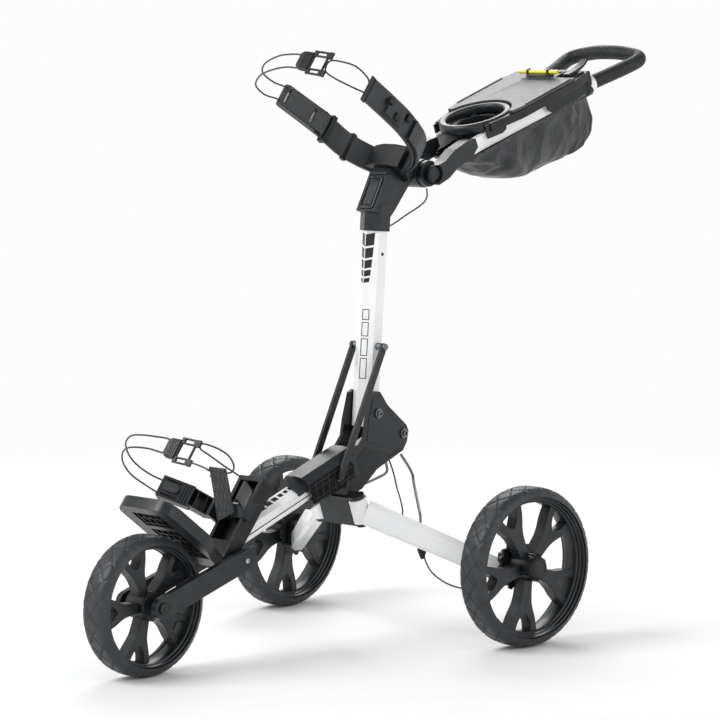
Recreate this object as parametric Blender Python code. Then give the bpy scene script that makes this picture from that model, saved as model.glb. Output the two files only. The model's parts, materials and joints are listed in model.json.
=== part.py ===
"""Three-wheeled golf push trolley, modelled piece by piece.

Metres, +Z up, +X the trolley's left, -Y its front.  The origin is on the ground, in the middle
of the footprint.  Every moving group hangs on an empty that stands on its joint's axis.
"""
import math

import bmesh
import bpy
from mathutils import Matrix, Vector

# ---- driving dimensions -------------------------------------------------------------------
REAR_RADIUS = 0.146          # 11.5 inch rear wheels
FRONT_RADIUS = 0.124         # 9.75 inch front wheel
TYRE_WIDTH = 0.062
TRACK = 0.607                # rear wheel centre to rear wheel centre
WHEELBASE = 0.659
REAR_AXLE_Y = 0.089
TOE_IN = math.radians(4.4)

SECTION_WIDTH = 0.044        # hexagonal extrusion used for mast and lower tube
SECTION_FLANK = 0.022        # height of its flat side faces
SECTION_DEPTH = 0.049
WALL = 0.0025

TUBE_TILT = math.radians(20.0)
TUBE_POINT = Vector((0, -0.241, 0.259))
MAST_TILT = math.radians(-4.4)
MAST_PIVOT = Vector((0, -0.011, 0.411))
BAG_TILT = math.radians(-37.0)
UPPER_CRADLE = Vector((0, 0.069, 0.862))
LOWER_CRADLE = Vector((0, -0.361, 0.280))
BASE_HINGE = Vector((0, -0.410, 0.180))
HANDLE_TILT = math.radians(19.0)
HANDLE_PIVOT = Vector((0, 0.119, 0.847))
ARM_HINGE = Vector((0.050, -0.078, 0.242))
ARM_END = Vector((0.262, 0.078, 0.1325))

STRUT_TOP = 0.1227           # from the mast pivot up the mast
STRUT_X = 0.0375
GAP = 0.0004                 # clearance between pieces that touch
FIT = 0.0010                 # clearance between pieces that turn or slide

BLACK, DARK, WHITE, LID, RUBBER, STEEL, YELLOW, CLOTH = (
    "black_plastic", "dark_plastic", "white_paint", "grey_lid", "rubber", "steel", "yellow",
    "cloth")
FINISH = {                   # colour, roughness, metallic
    BLACK: ((0.035, 0.038, 0.041), 0.45, 0.0),
    DARK: ((0.018, 0.019, 0.021), 0.55, 0.0),
    WHITE: ((0.86, 0.87, 0.88), 0.22, 0.0),
    LID: ((0.20, 0.21, 0.21), 0.35, 0.0),
    RUBBER: ((0.045, 0.048, 0.051), 0.75, 0.0),
    STEEL: ((0.55, 0.55, 0.56), 0.30, 1.0),
    YELLOW: ((0.90, 0.78, 0.06), 0.40, 0.0),
    CLOTH: ((0.025, 0.027, 0.030), 0.85, 0.0),
}


# ---- scene helpers ------------------------------------------------------------------------
def clear_scene():
    for old in list(bpy.data.objects):
        bpy.data.objects.remove(old, do_unlink=True)


def make_materials():
    for name, (colour, roughness, metallic) in FINISH.items():
        material = bpy.data.materials.new(name)
        material.use_nodes = True
        shader = material.node_tree.nodes["Principled BSDF"]
        shader.inputs["Base Color"].default_value = (*colour, 1.0)
        shader.inputs["Roughness"].default_value = roughness
        shader.inputs["Metallic"].default_value = metallic


def frame(origin, tilt=0.0, turn=0.0):
    """A frame at origin, tilted about X and then turned about Z."""
    return (Matrix.Translation(Vector(origin)) @ Matrix.Rotation(turn, 4, "Z")
            @ Matrix.Rotation(tilt, 4, "X"))


WORLD = Matrix.Identity(4)
TUBE = frame(TUBE_POINT, TUBE_TILT)
MAST = frame(MAST_PIVOT, MAST_TILT)
UPPER = frame(UPPER_CRADLE, BAG_TILT)
LOWER = frame(LOWER_CRADLE, BAG_TILT)
BASE = frame(BASE_HINGE, BAG_TILT)
HANDLE = frame(HANDLE_PIVOT, HANDLE_TILT)
ARM_LINE = (ARM_END - ARM_HINGE).normalized()
ARM_LENGTH = (ARM_END - ARM_HINGE).length
ARM_TURN = math.atan2(ARM_LINE.y, ARM_LINE.x)
ARM_DROP = math.asin(-ARM_LINE.z)

bodies = {}


def body(name, where, parent=None):
    """An empty on a joint's axis, which the pieces of one moving group hang on."""
    empty = bpy.data.objects.new("body_" + name, None)
    bpy.context.collection.objects.link(empty)
    empty["world"] = [list(row) for row in where]
    if parent:
        empty.parent = bodies[parent]
        empty.matrix_basis = world_of(bodies[parent]).inverted() @ where
    else:
        empty.matrix_basis = where
    bodies[name] = empty


def world_of(empty):
    return Matrix([list(row) for row in empty["world"]])


def add(name, mesh_data, material, where, group):
    """Link a mesh as a named piece, placed at a frame and hung on its group's empty."""
    piece = bpy.data.objects.new(name, mesh_data)
    bpy.context.collection.objects.link(piece)
    mesh_data.materials.append(bpy.data.materials[material])
    piece.parent = bodies[group]
    piece.matrix_basis = world_of(bodies[group]).inverted() @ where
    mesh_data.shade_smooth()
    mesh_data.set_sharp_from_angle(angle=math.radians(35))
    return piece


def to_mesh(bm, name):
    bmesh.ops.recalc_face_normals(bm, faces=bm.faces)
    mesh_data = bpy.data.meshes.new(name)
    bm.to_mesh(mesh_data)
    bm.free()
    return mesh_data


# ---- shapes -------------------------------------------------------------------------------
def prism(outline, low, high, axis="X", top=None):
    """Extrude an outline along an axis of its frame; top gives a second, matching outline."""
    place = {"X": lambda a, b, h: (h, a, b),
             "Y": lambda a, b, h: (a, h, b),
             "Z": lambda a, b, h: (a, b, h)}[axis]
    bm = bmesh.new()
    lower = [bm.verts.new(place(a, b, low)) for a, b in outline]
    upper = [bm.verts.new(place(a, b, high)) for a, b in (top or outline)]
    bm.faces.new(lower)
    bm.faces.new(upper)
    count = len(lower)
    for i in range(count):
        j = (i + 1) % count
        bm.faces.new((lower[i], lower[j], upper[j], upper[i]))
    return bm


def box(x0, x1, y0, y1, z0, z1):
    return prism([(x0, y0), (x1, y0), (x1, y1), (x0, y1)], z0, z1, "Z")


def disc(radius, centre=(0, 0), steps=24):
    return [(centre[0] + radius * math.cos(2 * math.pi * k / steps),
             centre[1] + radius * math.sin(2 * math.pi * k / steps)) for k in range(steps)]


def cylinder(radius, low, high, axis="X", centre=(0, 0), steps=16):
    return prism(disc(radius, centre, steps), low, high, axis)


def turned(profile, steps=40):
    """Turn a closed (radius, x) profile about the X axis into a ring."""
    bm = bmesh.new()
    rings = []
    for k in range(steps):
        angle = 2 * math.pi * k / steps
        rings.append([bm.verts.new((x, r * math.cos(angle), r * math.sin(angle)))
                      for r, x in profile])
    for k in range(steps):
        here, after = rings[k], rings[(k + 1) % steps]
        for i in range(len(profile)):
            j = (i + 1) % len(profile)
            bm.faces.new((here[i], here[j], after[j], after[i]))
    return bm


def turned_solid(profile, steps=24):
    """Turn an open (radius, x) profile, from axis to axis, about the X axis into a solid."""
    bm = bmesh.new()
    inner = profile[1:-1]
    start = bm.verts.new((profile[0][1], 0, 0))
    end = bm.verts.new((profile[-1][1], 0, 0))
    rings = []
    for k in range(steps):
        angle = 2 * math.pi * k / steps
        rings.append([bm.verts.new((x, r * math.cos(angle), r * math.sin(angle)))
                      for r, x in inner])
    for k in range(steps):
        here, after = rings[k], rings[(k + 1) % steps]
        bm.faces.new((start, here[0], after[0]))
        bm.faces.new((here[-1], end, after[-1]))
        for i in range(len(inner) - 1):
            bm.faces.new((here[i], here[i + 1], after[i + 1], after[i]))
    return bm


def smooth_path(points, per_span=6):
    """A Catmull-Rom curve through hand-placed points."""
    points = [Vector(p) for p in points]
    ends = [2 * points[0] - points[1]] + points + [2 * points[-1] - points[-2]]
    path = []
    for i in range(1, len(ends) - 2):
        a, b, c, d = ends[i - 1:i + 3]
        for k in range(per_span):
            t = k / per_span
            path.append(0.5 * ((2 * b) + (c - a) * t + (2 * a - 5 * b + 4 * c - d) * t * t
                               + (3 * b - a - 3 * c + d) * t ** 3))
    path.append(points[-1])
    return path


def band(points, thickness, low, high, per_span=5):
    """A ribbon of given thickness that follows (x, y) points, standing from low to high."""
    path = smooth_path([(x, y, 0) for x, y in points], per_span)
    left, right = [], []
    for i, here in enumerate(path):
        along = (path[min(i + 1, len(path) - 1)] - path[max(i - 1, 0)]).normalized()
        side = Vector((-along.y, along.x, 0)) * thickness / 2
        left.append(tuple((here + side).xy))
        right.append(tuple((here - side).xy))
    return prism(left + right[::-1], low, high, "Z")


def round_bar(name, points, radius, material, group, resolution=2, per_span=5):
    """A round bar or cord through world points, as a bevelled POLY curve with filled caps."""
    path = smooth_path(points, per_span)
    curve = bpy.data.curves.new(name, "CURVE")
    curve.dimensions = "3D"
    curve.bevel_depth = radius
    curve.bevel_resolution = resolution
    curve.use_fill_caps = True
    spline = curve.splines.new("POLY")
    spline.points.add(len(path) - 1)
    for point, place in zip(spline.points, path):
        point.co = (*place, 1.0)
    bar = bpy.data.objects.new(name, curve)
    bpy.context.collection.objects.link(bar)
    curve.materials.append(bpy.data.materials[material])
    bar.parent = bodies[group]
    bar.matrix_basis = world_of(bodies[group]).inverted()
    return bar


def boolean(piece, tool_bm, where, operation):
    """Cut a shape from a piece, or fuse it on; the tool stays as a hidden wire."""
    tool = bpy.data.objects.new("tool_" + piece.name, to_mesh(tool_bm, "tool"))
    bpy.context.collection.objects.link(tool)
    tool.matrix_basis = where
    tool.hide_render = True
    tool.display_type = "WIRE"
    modifier = piece.modifiers.new(operation.lower(), "BOOLEAN")
    modifier.operation = operation
    modifier.object = tool
    modifier.solver = "EXACT"


def cut(piece, tool_bm, where):
    boolean(piece, tool_bm, where, "DIFFERENCE")


def fuse(piece, tool_bm, where):
    boolean(piece, tool_bm, where, "UNION")


def hexagon(grow=0.0):
    """The extrusion's section, a long hexagon with ridges at front and back."""
    half, flank, ridge = (SECTION_WIDTH / 2 + grow, SECTION_FLANK / 2 + grow * 0.6,
                          SECTION_DEPTH / 2 + grow * 1.2)
    return [(0, ridge), (-half, flank), (-half, -flank), (0, -ridge), (half, -flank),
            (half, flank)]


# ---- wheels -------------------------------------------------------------------------------
SPOKES = 5
WHEEL_STEPS = 32             # facets round a wheel, a multiple of 4 so that one corner is lowest
TEETH = 16


def tyre(name, radius, where, group):
    half = TYRE_WIDTH / 2
    profile = [(radius - 0.017, half - 0.004), (radius - 0.009, half), (radius, half - 0.013),
               (radius, -half + 0.013), (radius - 0.009, -half), (radius - 0.017, -half + 0.004)]
    add(name, to_mesh(turned(profile, WHEEL_STEPS), name), RUBBER, where, group)


def rim(name, radius, where, group, bore, outer_side, phase, capped):
    """Felloe, hub and five forked spokes fused together; outer_side is +1 or -1 along X."""
    half = TYRE_WIDTH / 2
    outer = radius - 0.017 - GAP
    inner = radius * 0.805
    felloe = [(outer, half - 0.006), (outer - 0.007, half - 0.008), (inner, half - 0.016),
              (inner, -half + 0.016), (outer - 0.007, -half + 0.008), (outer, -half + 0.006)]
    piece = add(name, to_mesh(turned(felloe, WHEEL_STEPS), name), BLACK, where, group)
    fork = 0.46 * radius
    web = 0.010
    for k in range(SPOKES):
        turn = phase + 2 * math.pi * k / SPOKES
        here = where @ Matrix.Rotation(turn, 4, "X")
        stem = 0.0085 * radius / 0.146
        tip = 0.019 * radius / 0.146
        wide, narrow = tip + 0.018, tip + 0.003
        reach_wide = math.sqrt((inner + 0.003) ** 2 - wide ** 2)
        reach = math.sqrt((inner + 0.003) ** 2 - narrow ** 2)
        shape = [(0.012, stem), (fork, stem * 1.6), (reach_wide, wide), (reach, narrow),
                 (fork + 0.012, 0.0012), (fork + 0.012, -0.0012), (reach, -narrow),
                 (reach_wide, -wide), (fork, -stem * 1.6), (0.012, -stem)]
        fuse(piece, prism(shape, -web, web, "X"), here)
    low, high = sorted((-outer_side * 0.020, outer_side * 0.024))
    fuse(piece, cylinder(0.0245, low, high), where)
    cut(piece, cylinder(bore, -0.05, 0.05), where)
    if capped:
        cap = [(0, 0.0385), (0.016, 0.0385), (0.0225, 0.033), (0.0240, 0.0235), (0, 0.0235)]
        cap = [(r, outer_side * x) for r, x in cap]
        fuse(piece, turned_solid(cap, 16), where)


def front_wheel():
    centre = frame((0, REAR_AXLE_Y - WHEELBASE, FRONT_RADIUS))
    body("front_wheel", centre, "frame")
    tyre("front_tyre", FRONT_RADIUS, centre, "front_wheel")
    rim("front_rim", FRONT_RADIUS, centre, "front_wheel", 0.0065, 1, math.radians(38), False)
    axle = turned_solid([(0, -0.0565), (0.011, -0.0565), (0.011, -0.0522), (0.0060, -0.0522),
                         (0.0060, 0.0522), (0.011, 0.0522), (0.011, 0.0565), (0, 0.0565)], 16)
    add("front_axle", to_mesh(axle, "front_axle"), STEEL, centre, "frame")


def rear_wheel(side):
    label = "left" if side > 0 else "right"
    centre = frame((side * TRACK / 2, REAR_AXLE_Y, REAR_RADIUS), 0.0, -side * TOE_IN)
    group = label + "_wheel"
    body(group, centre, label + "_arm")
    tyre(label + "_tyre", REAR_RADIUS, centre, group)
    rim(label + "_rim", REAR_RADIUS, centre, group, 0.0065, side, math.radians(46), True)
    drum = []
    for k in range(TEETH * 4):
        reach = 0.046 if k % 4 < 2 else 0.041
        angle = 2 * math.pi * k / (TEETH * 4)
        drum.append((reach * math.cos(angle), reach * math.sin(angle)))
    low, high = sorted((side * -0.0205, side * -0.0265))
    gear = add(label + "_brake_gear", to_mesh(prism(drum, low, high), "gear"), DARK, centre,
               group)
    cut(gear, cylinder(0.0085, -0.05, 0.05, steps=20), centre)


# ---- lower frame --------------------------------------------------------------------------
TUBE_REAR = 0.330            # rear end of the lower tube, along it from TUBE_POINT
TUBE_CUT_TOP = -0.0655
TUBE_CUT_SLOPE = 1.69        # rake of the front cut, along per down
SLOT_V = -0.0035             # height of the long side groove
SLOT = 0.0024


def tube_cut(v):
    return TUBE_CUT_TOP - TUBE_CUT_SLOPE * (SECTION_DEPTH / 2 - v)


def lower_tube():
    front = -0.20
    bm = prism(hexagon(), front, TUBE_REAR, "Y")
    piece = add("lower_tube", to_mesh(bm, "lower_tube"), WHITE, TUBE, "frame")
    cut(piece, prism(hexagon(-WALL), front - 0.01, TUBE_REAR + 0.01, "Y"), TUBE)
    rake = [(tube_cut(0.05), 0.05), (tube_cut(-0.05), -0.05), (-0.30, -0.05), (-0.30, 0.05)]
    cut(piece, prism(rake, -0.05, 0.05), TUBE)
    cut(piece, box(-0.03, 0.03, -0.118, 0.165, SLOT_V - SLOT / 2, SLOT_V + SLOT / 2), TUBE)
    bolt_at = TUBE_REAR - 0.012
    cut(piece, cylinder(0.0062, -0.05, 0.05, centre=(bolt_at, 0)), TUBE)


def hinge_axis(side):
    """Frame at a rear arm's hinge, with Z square to the lower tube."""
    return frame((side * ARM_HINGE.x, ARM_HINGE.y, ARM_HINGE.z), TUBE_TILT)


def pivot_housing():
    """Side plates round the mast foot, the saddle over the tube and the rear arms' lugs."""
    outline = [(-0.016, 0.452), (-0.004, 0.450), (0.016, 0.424), (0.067, 0.383), (0.073, 0.372),
               (0.069, 0.352), (0.058, 0.336), (-0.012, 0.308), (-0.052, 0.276), (-0.092, 0.262),
               (-0.098, 0.330), (-0.060, 0.352), (-0.046, 0.368), (-0.040, 0.400),
               (-0.026, 0.447)]
    plate_in, plate_out = 0.0240, 0.0318
    bm = prism(outline, -plate_out, plate_out)
    piece = add("pivot_housing", to_mesh(bm, "pivot_housing"), BLACK, WORLD, "frame")
    # room for the mast foot and for the tube between the plates
    room = [(-0.140, 0.470), (0.030, 0.470), (0.030, 0.412), (0.0525, 0.388), (0.0525, 0.372),
            (0.006, 0.358), (-0.048, 0.352), (-0.140, 0.330)]
    cut(piece, prism(room, -plate_in, plate_in), WORLD)
    saddle = [(0.020, 0.0335), (0.0, 0.0350), (-0.020, 0.0335), (-0.0331, 0.0200),
              (-0.0331, -0.0190), (-0.020, -0.0305), (0.020, -0.0305), (0.0331, -0.0190),
              (0.0331, 0.0200)]
    fuse(piece, prism(saddle, 0.056, 0.185, "Y"), TUBE)
    nose = [(0.0, 0.0342), (-0.0262, 0.0170), (-0.0262, 0.0073), (0.0262, 0.0073),
            (0.0262, 0.0170)]
    fuse(piece, prism(nose, 0.034, 0.060, "Y"), TUBE)
    fuse(piece, box(-0.050, 0.050, -0.0132, 0.0132, -0.0287, 0.0287), hinge_axis(0))
    for side in (1, -1):
        fuse(piece, cylinder(0.0145, -0.030, 0.030, "Z"), hinge_axis(side))
    for side in (1, -1):
        cut(piece, cylinder(0.0185, -0.0235, 0.0235, "Z", steps=20), hinge_axis(side))
        fuse(piece, cylinder(0.0040, -0.026, 0.026, "Z", steps=12), hinge_axis(side))
    bore = hexagon(GAP)
    cut(piece, prism(bore, -0.02, TUBE_REAR + 0.012, "Y"), TUBE)
    channel = [(0.05, 0.0035), (-0.05, 0.0035), (-0.05, -0.0100), (0.05, -0.0100)]
    cut(piece, prism(channel, 0.030, 0.158, "Y"), TUBE)
    for y, z in ((MAST_PIVOT.y, MAST_PIVOT.z), (BOLT.y, BOLT.z)):
        cut(piece, cylinder(0.0064, -0.05, 0.05, centre=(y, z)), WORLD)


BOLT = TUBE @ Vector((0, TUBE_REAR - 0.012, 0))


def bolt(name, centre, half, group, radius=0.0058, head=0.0095):
    profile = [(0, -half - 0.0045), (head, -half - 0.0045), (head, -half - 0.0005),
               (radius, -half - 0.0005), (radius, half + 0.0005), (head, half + 0.0005),
               (head, half + 0.0045), (0, half + 0.0045)]
    add(name, to_mesh(turned_solid(profile, 14), name), STEEL, frame(centre), group)


def front_bracket():
    """The moulded bracket on the tube's raked front end, which holds fork and lower cradle."""
    back_top = Vector((-0.3115, 0.2600))
    rake = Vector((-0.0603, -0.0745)).normalized()
    square = Vector((rake.y, -rake.x))           # points forward
    top = back_top - rake * 0.052
    foot = back_top + rake * 0.124
    outline = [top, foot, foot + square * 0.030 + rake * -0.008, top + square * 0.034]
    outline = [(p.x - 0.0012, p.y) for p in outline]
    bm = prism(outline, -0.030, 0.030)
    piece = add("front_bracket", to_mesh(bm, "front_bracket"), DARK, WORLD, "frame")
    # a plug that reaches into the open end of the tube
    fuse(piece, prism(hexagon(-WALL - GAP), tube_cut(0) - 0.030, tube_cut(0) + 0.030, "Y"), TUBE)
    # front pocket between the two side ribs
    pocket = [top + square * 0.008 + rake * 0.010, foot + square * 0.008 - rake * 0.045,
              foot + square * 0.050 - rake * 0.045, top + square * 0.050 + rake * 0.010]
    cut(piece, prism([(p.x, p.y) for p in pocket], -0.0225, 0.0225), WORLD)


def fork(side):
    """A fork arm from the front bracket's flank down to the front axle."""
    label = "left" if side > 0 else "right"
    hub = Vector((REAR_AXLE_Y - WHEELBASE, FRONT_RADIUS))
    shoulder = Vector((-0.362, 0.186))
    line = (shoulder - hub).normalized()
    up = Vector((-line.y, line.x))
    outline = []
    for k in range(9):
        angle = math.pi / 2 + math.pi * k / 8
        outline.append(hub + line * 0.020 * math.cos(angle) + up * 0.020 * math.sin(angle))
    outline += [shoulder - up * 0.019 - line * 0.020, shoulder - up * 0.012 + line * 0.012,
                shoulder + up * 0.016 + line * 0.020, shoulder + up * 0.019 - line * 0.030]
    outline = [(p.x, p.y) for p in outline]
    inner, outer = 0.0395, 0.0515
    low, high = sorted((side * inner, side * outer))
    piece = add(label + "_fork_arm", to_mesh(prism(outline, low, high), "fork"), BLACK, WORLD,
                "frame")
    # the shoulder steps inward and bolts to the bracket's flank
    pad = [shoulder - up * 0.011 - line * 0.006, shoulder - up * 0.010 + line * 0.011,
           shoulder + up * 0.014 + line * 0.018, shoulder + up * 0.014 - line * 0.006]
    low, high = sorted((side * (0.030 + GAP), side * 0.045))
    fuse(piece, prism([(p.x, p.y) for p in pad], low, high), WORLD)
    cut(piece, cylinder(0.0064, -0.06, 0.06, centre=tuple(hub), steps=20), WORLD)


def base_outline(inset):
    """Half-round-nosed U of the bag rest, (x, forward distance) seen along the bag."""
    wide, front, corner = 0.066 - inset, -0.205 + inset, 0.030
    points = [(0.030, -0.006 - inset), (0.0385 - inset * 0.5, -0.036), (wide, -0.090)]
    for k in range(5):
        angle = -math.pi / 2 * k / 4
        points.append((wide - corner + corner * math.cos(angle),
                       front + corner + corner * math.sin(angle)))
    return points + [(-x, y) for x, y in reversed(points)]


def bag_base():
    bm = prism(base_outline(0.0), -0.011, 0.011, "Z")
    piece = add("bag_base", to_mesh(bm, "bag_base"), BLACK, BASE, "frame")
    cut(piece, prism(base_outline(0.0125), -0.0075, 0.030, "Z"), BASE)
    cut(piece, box(-0.036, 0.036, -0.128, -0.036, -0.03, 0.03), BASE)
    cut(piece, box(-0.036, 0.036, -0.184, -0.140, -0.03, 0.03), BASE)
    # hinge knuckle that joins the front bracket
    fuse(piece, cylinder(0.0095, -0.028, 0.028, centre=(-0.0105, -0.001), steps=16), BASE)


LOWER_LEFT = [(0.031, 0.008), (0.048, -0.010), (0.066, -0.030), (0.079, -0.062)]


def lower_cradle():
    """Two moulded arms on the bracket's flanks, a cord clip and a webbing strap."""
    # right: a hollow box on the flank, open to the front, and the solid clip beyond it
    pocket = [(-0.0370, 0.0005), (-0.0600, -0.0365), (-0.0722, -0.0159), (-0.0560, 0.0110),
              (-0.0370, 0.0110)]
    right = add("lower_arm_right", to_mesh(prism(pocket, -0.032, 0.003, "Z"), "arm"), BLACK,
                LOWER, "frame")
    hollow = [(-0.0330, -0.0150), (-0.0560, -0.0520), (-0.0690, -0.0140), (-0.0540, 0.0085),
              (-0.0400, 0.0085)]
    cut(right, prism(hollow, -0.0295, 0.0005, "Z"), LOWER)
    left = add("lower_arm_left", to_mesh(band(LOWER_LEFT, 0.006, -0.020, 0.016), "arm"),
               BLACK, LOWER, "frame")
    for side, piece, low_end in ((-1, right, -0.032), (1, left, -0.020)):
        low, high = sorted((side * (0.030 + GAP), side * 0.038))
        fuse(piece, box(low, high, -0.006, 0.026, low_end, 0.016), LOWER)
    clip = [(-0.0590, -0.0360), (-0.1135, -0.0670), (-0.1165, -0.0640), (-0.1268, -0.0458),
            (-0.1245, -0.0432), (-0.0712, -0.0154)]
    fuse(right, prism(clip, -0.034, 0.005, "Z"), LOWER)
    # left: a wing with a lug at its foot that carries the strap
    fuse(left, box(0.0480, 0.0700, -0.4100, -0.3960, 0.2660, 0.2900), WORLD)
    strap = [(0.0220, 0.2560), (0.0620, 0.2750), (0.0540, 0.3050), (0.0420, 0.3500),
             (0.0020, 0.3500), (0.0060, 0.3320), (0.0140, 0.2960)]
    webbing = add("lower_strap", to_mesh(prism(strap, -0.4135, -0.4105, "Y"), "strap"), CLOTH,
                  WORLD, "frame")
    fuse(webbing, cylinder(0.0036, 0.0030, 0.0410, centre=(-0.4120, 0.3465), steps=12), WORLD)


# ---- rear arms ----------------------------------------------------------------------------
def arm_frame(side):
    return frame((side * ARM_HINGE.x, ARM_HINGE.y, ARM_HINGE.z), 0.0, side * ARM_TURN) @ (
        Matrix.Rotation(side * ARM_DROP, 4, "Y"))


def beam_section(depth, width):
    return [(0, depth / 2), (-width / 2, depth / 2 - 0.009), (-width / 2, -depth / 2 + 0.006),
            (-width * 0.28, -depth / 2), (width * 0.28, -depth / 2),
            (width / 2, -depth / 2 + 0.006), (width / 2, depth / 2 - 0.009)]


def rear_arm(side):
    """A white box beam that swings on its pin, with the wheel's axle and brake bracket."""
    label = "left" if side > 0 else "right"
    group = label + "_arm"
    body(group, hinge_axis(side), "frame")
    line = arm_frame(side)
    inner, outer = beam_section(0.046, 0.028), beam_section(0.040, 0.026)
    bm = prism(inner, side * 0.012, side * ARM_LENGTH, "X", outer)
    piece = add(label + "_beam", to_mesh(bm, label + "_beam"), WHITE, line, group)
    fuse(piece, cylinder(0.0170, -0.0230, 0.0230, "Z", steps=20), hinge_axis(side))
    cut(piece, cylinder(0.0046, -0.05, 0.05, "Z", steps=12), hinge_axis(side))
    for low, high in ((-0.08, -0.0229), (0.0229, 0.08)):
        cut(piece, cylinder(0.0162, low, high, "Z", steps=24), hinge_axis(side))
    wheel = frame((side * TRACK / 2, REAR_AXLE_Y, REAR_RADIUS), 0.0, -side * TOE_IN)
    cut(piece, cylinder(0.0100, -0.060, -0.020, steps=20) if side > 0 else
        cylinder(0.0100, 0.020, 0.060, steps=20), wheel)
    axle = [(0, -0.0445), (0.0095, -0.0445), (0.0095, -0.0275), (0.0058, -0.0275),
            (0.0058, 0.0230), (0, 0.0230)]
    axle = [(r, side * x) for r, x in axle]
    add(label + "_axle", to_mesh(turned_solid(axle, 16), label + "_axle"), STEEL, wheel, group)
    # the bracket that carries axle and brake pawl on the beam's outer end
    shell = [(-0.030, -0.022), (0.016, -0.030), (0.040, -0.010), (0.036, 0.022), (0.008, 0.034),
             (-0.026, 0.022)]
    low, high = sorted((side * -0.0440, side * -0.0285))
    bracket = add(label + "_brake_bracket", to_mesh(prism(shell, low, high), "bracket"), DARK,
                  wheel, group)
    cut(bracket, cylinder(0.0100, -0.08, 0.08, steps=20), wheel)
    cut(bracket, prism(beam_section(0.0412, 0.0272), side * 0.15, side * (ARM_LENGTH + 0.001),
                       "X"), line)


def link_rod(side):
    """A bent rod that ties the housing to a rear arm; it hangs on its upper end."""
    label = "left" if side > 0 else "right"
    top = Vector((side * 0.0200, 0.0640, 0.3270))
    body(label + "_rod", frame(top), "frame")
    middle = (side * 0.0330, 0.0830, 0.2870)
    points = [top, (side * 0.0280, 0.0760, 0.3050), middle, (side * 0.0480, 0.0700, 0.2740),
              (side * 0.1000, 0.0250, 0.2430), (side * 0.1240, 0.0040, 0.2290)]
    round_bar(label + "_link_rod", points, 0.0026, STEEL, label + "_rod", per_span=3)


# ---- mast ---------------------------------------------------------------------------------
MAST_TOP = 0.350


def mast_tube():
    bm = prism(hexagon(), -0.026, MAST_TOP, "Z")
    piece = add("mast_tube", to_mesh(bm, "mast_tube"), WHITE, MAST, "mast")
    cut(piece, prism(hexagon(-WALL), -0.05, MAST_TOP + 0.02, "Z"), MAST)
    cut(piece, cylinder(0.0064, -0.05, 0.05), MAST)
    cut(piece, cylinder(0.0042, -0.05, 0.05, centre=(0, STRUT_TOP)), MAST)


def elbow():
    """The moulded knee on the mast's top, with the handle's hub behind it."""
    bm = prism(hexagon(0.0035), 0.334, 0.384, "Z")
    piece = add("elbow", to_mesh(bm, "elbow"), BLACK, MAST, "mast")
    neck = [(-0.012, 0.782), (0.030, 0.766), (0.046, 0.782), (0.092, 0.836), (0.098, 0.862),
            (0.082, 0.874), (0.036, 0.862), (0.024, 0.848)]
    fuse(piece, prism(neck, -0.0225, 0.0225), WORLD)
    fuse(piece, cylinder(0.0265, -0.0300, 0.0300, centre=tuple(HANDLE_PIVOT.yz), steps=24),
         WORLD)
    cut(piece, prism(hexagon(GAP), 0.30, MAST_TOP + GAP, "Z"), MAST)
    cut(piece, box(-0.06, 0.06, -0.080, 0.0205, -0.0225 - GAP, 0.08), UPPER)
    cut(piece, cylinder(0.0064, -0.05, 0.05, centre=tuple(HANDLE_PIVOT.yz)), WORLD)


UPPER_RIGHT = [(-0.036, -0.012), (-0.060, -0.034), (-0.080, -0.066), (-0.086, -0.104),
               (-0.088, -0.135)]
UPPER_LEFT = [(0.036, -0.012), (0.080, -0.040), (0.112, -0.082), (0.124, -0.130),
              (0.122, -0.180), (0.114, -0.238)]


def upper_cradle():
    """The yoke on the elbow and the two flexible arms that hug a bag."""
    body_shape = [(-0.034, 0.018), (-0.046, -0.004), (-0.040, -0.030), (-0.015, -0.036),
                  (0.015, -0.036), (0.040, -0.030), (0.046, -0.004), (0.034, 0.018)]
    yoke = add("upper_yoke", to_mesh(prism(body_shape, -0.022, 0.024, "Z"), "upper_yoke"),
               DARK, UPPER, "mast")
    add("upper_arm_right", to_mesh(band(UPPER_RIGHT, 0.007, -0.025, 0.025), "arm"), RUBBER,
        UPPER, "mast")
    left = add("upper_arm_left", to_mesh(band(UPPER_LEFT, 0.007, -0.024, 0.024), "arm"), RUBBER,
               UPPER, "mast")
    pad = [(-0.0795, -0.122), (-0.0965, -0.122), (-0.1090, -0.165), (-0.1250, -0.214),
           (-0.1215, -0.222), (-0.1100, -0.220), (-0.0920, -0.165)]
    pad = add("upper_pad", to_mesh(prism(pad, -0.022, 0.022, "Z"), "pad"), BLACK, UPPER, "mast")
    cut(pad, band(UPPER_RIGHT, 0.007 + 2 * GAP, -0.03, 0.03), UPPER)
    for arm in (UPPER_RIGHT, UPPER_LEFT):
        first, second = Vector(arm[0]), Vector(arm[1])
        start = first + (first - second).normalized() * GAP * 2
        cut(yoke, band([tuple(start)] + arm[1:], 0.007 + 3 * GAP, -0.03, 0.03), UPPER)
    clip = [(0.1220, -0.150), (0.1330, -0.150), (0.1315, -0.196), (0.1180, -0.196)]
    fuse(left, prism(clip, -0.018, 0.018, "Z"), UPPER)


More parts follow.
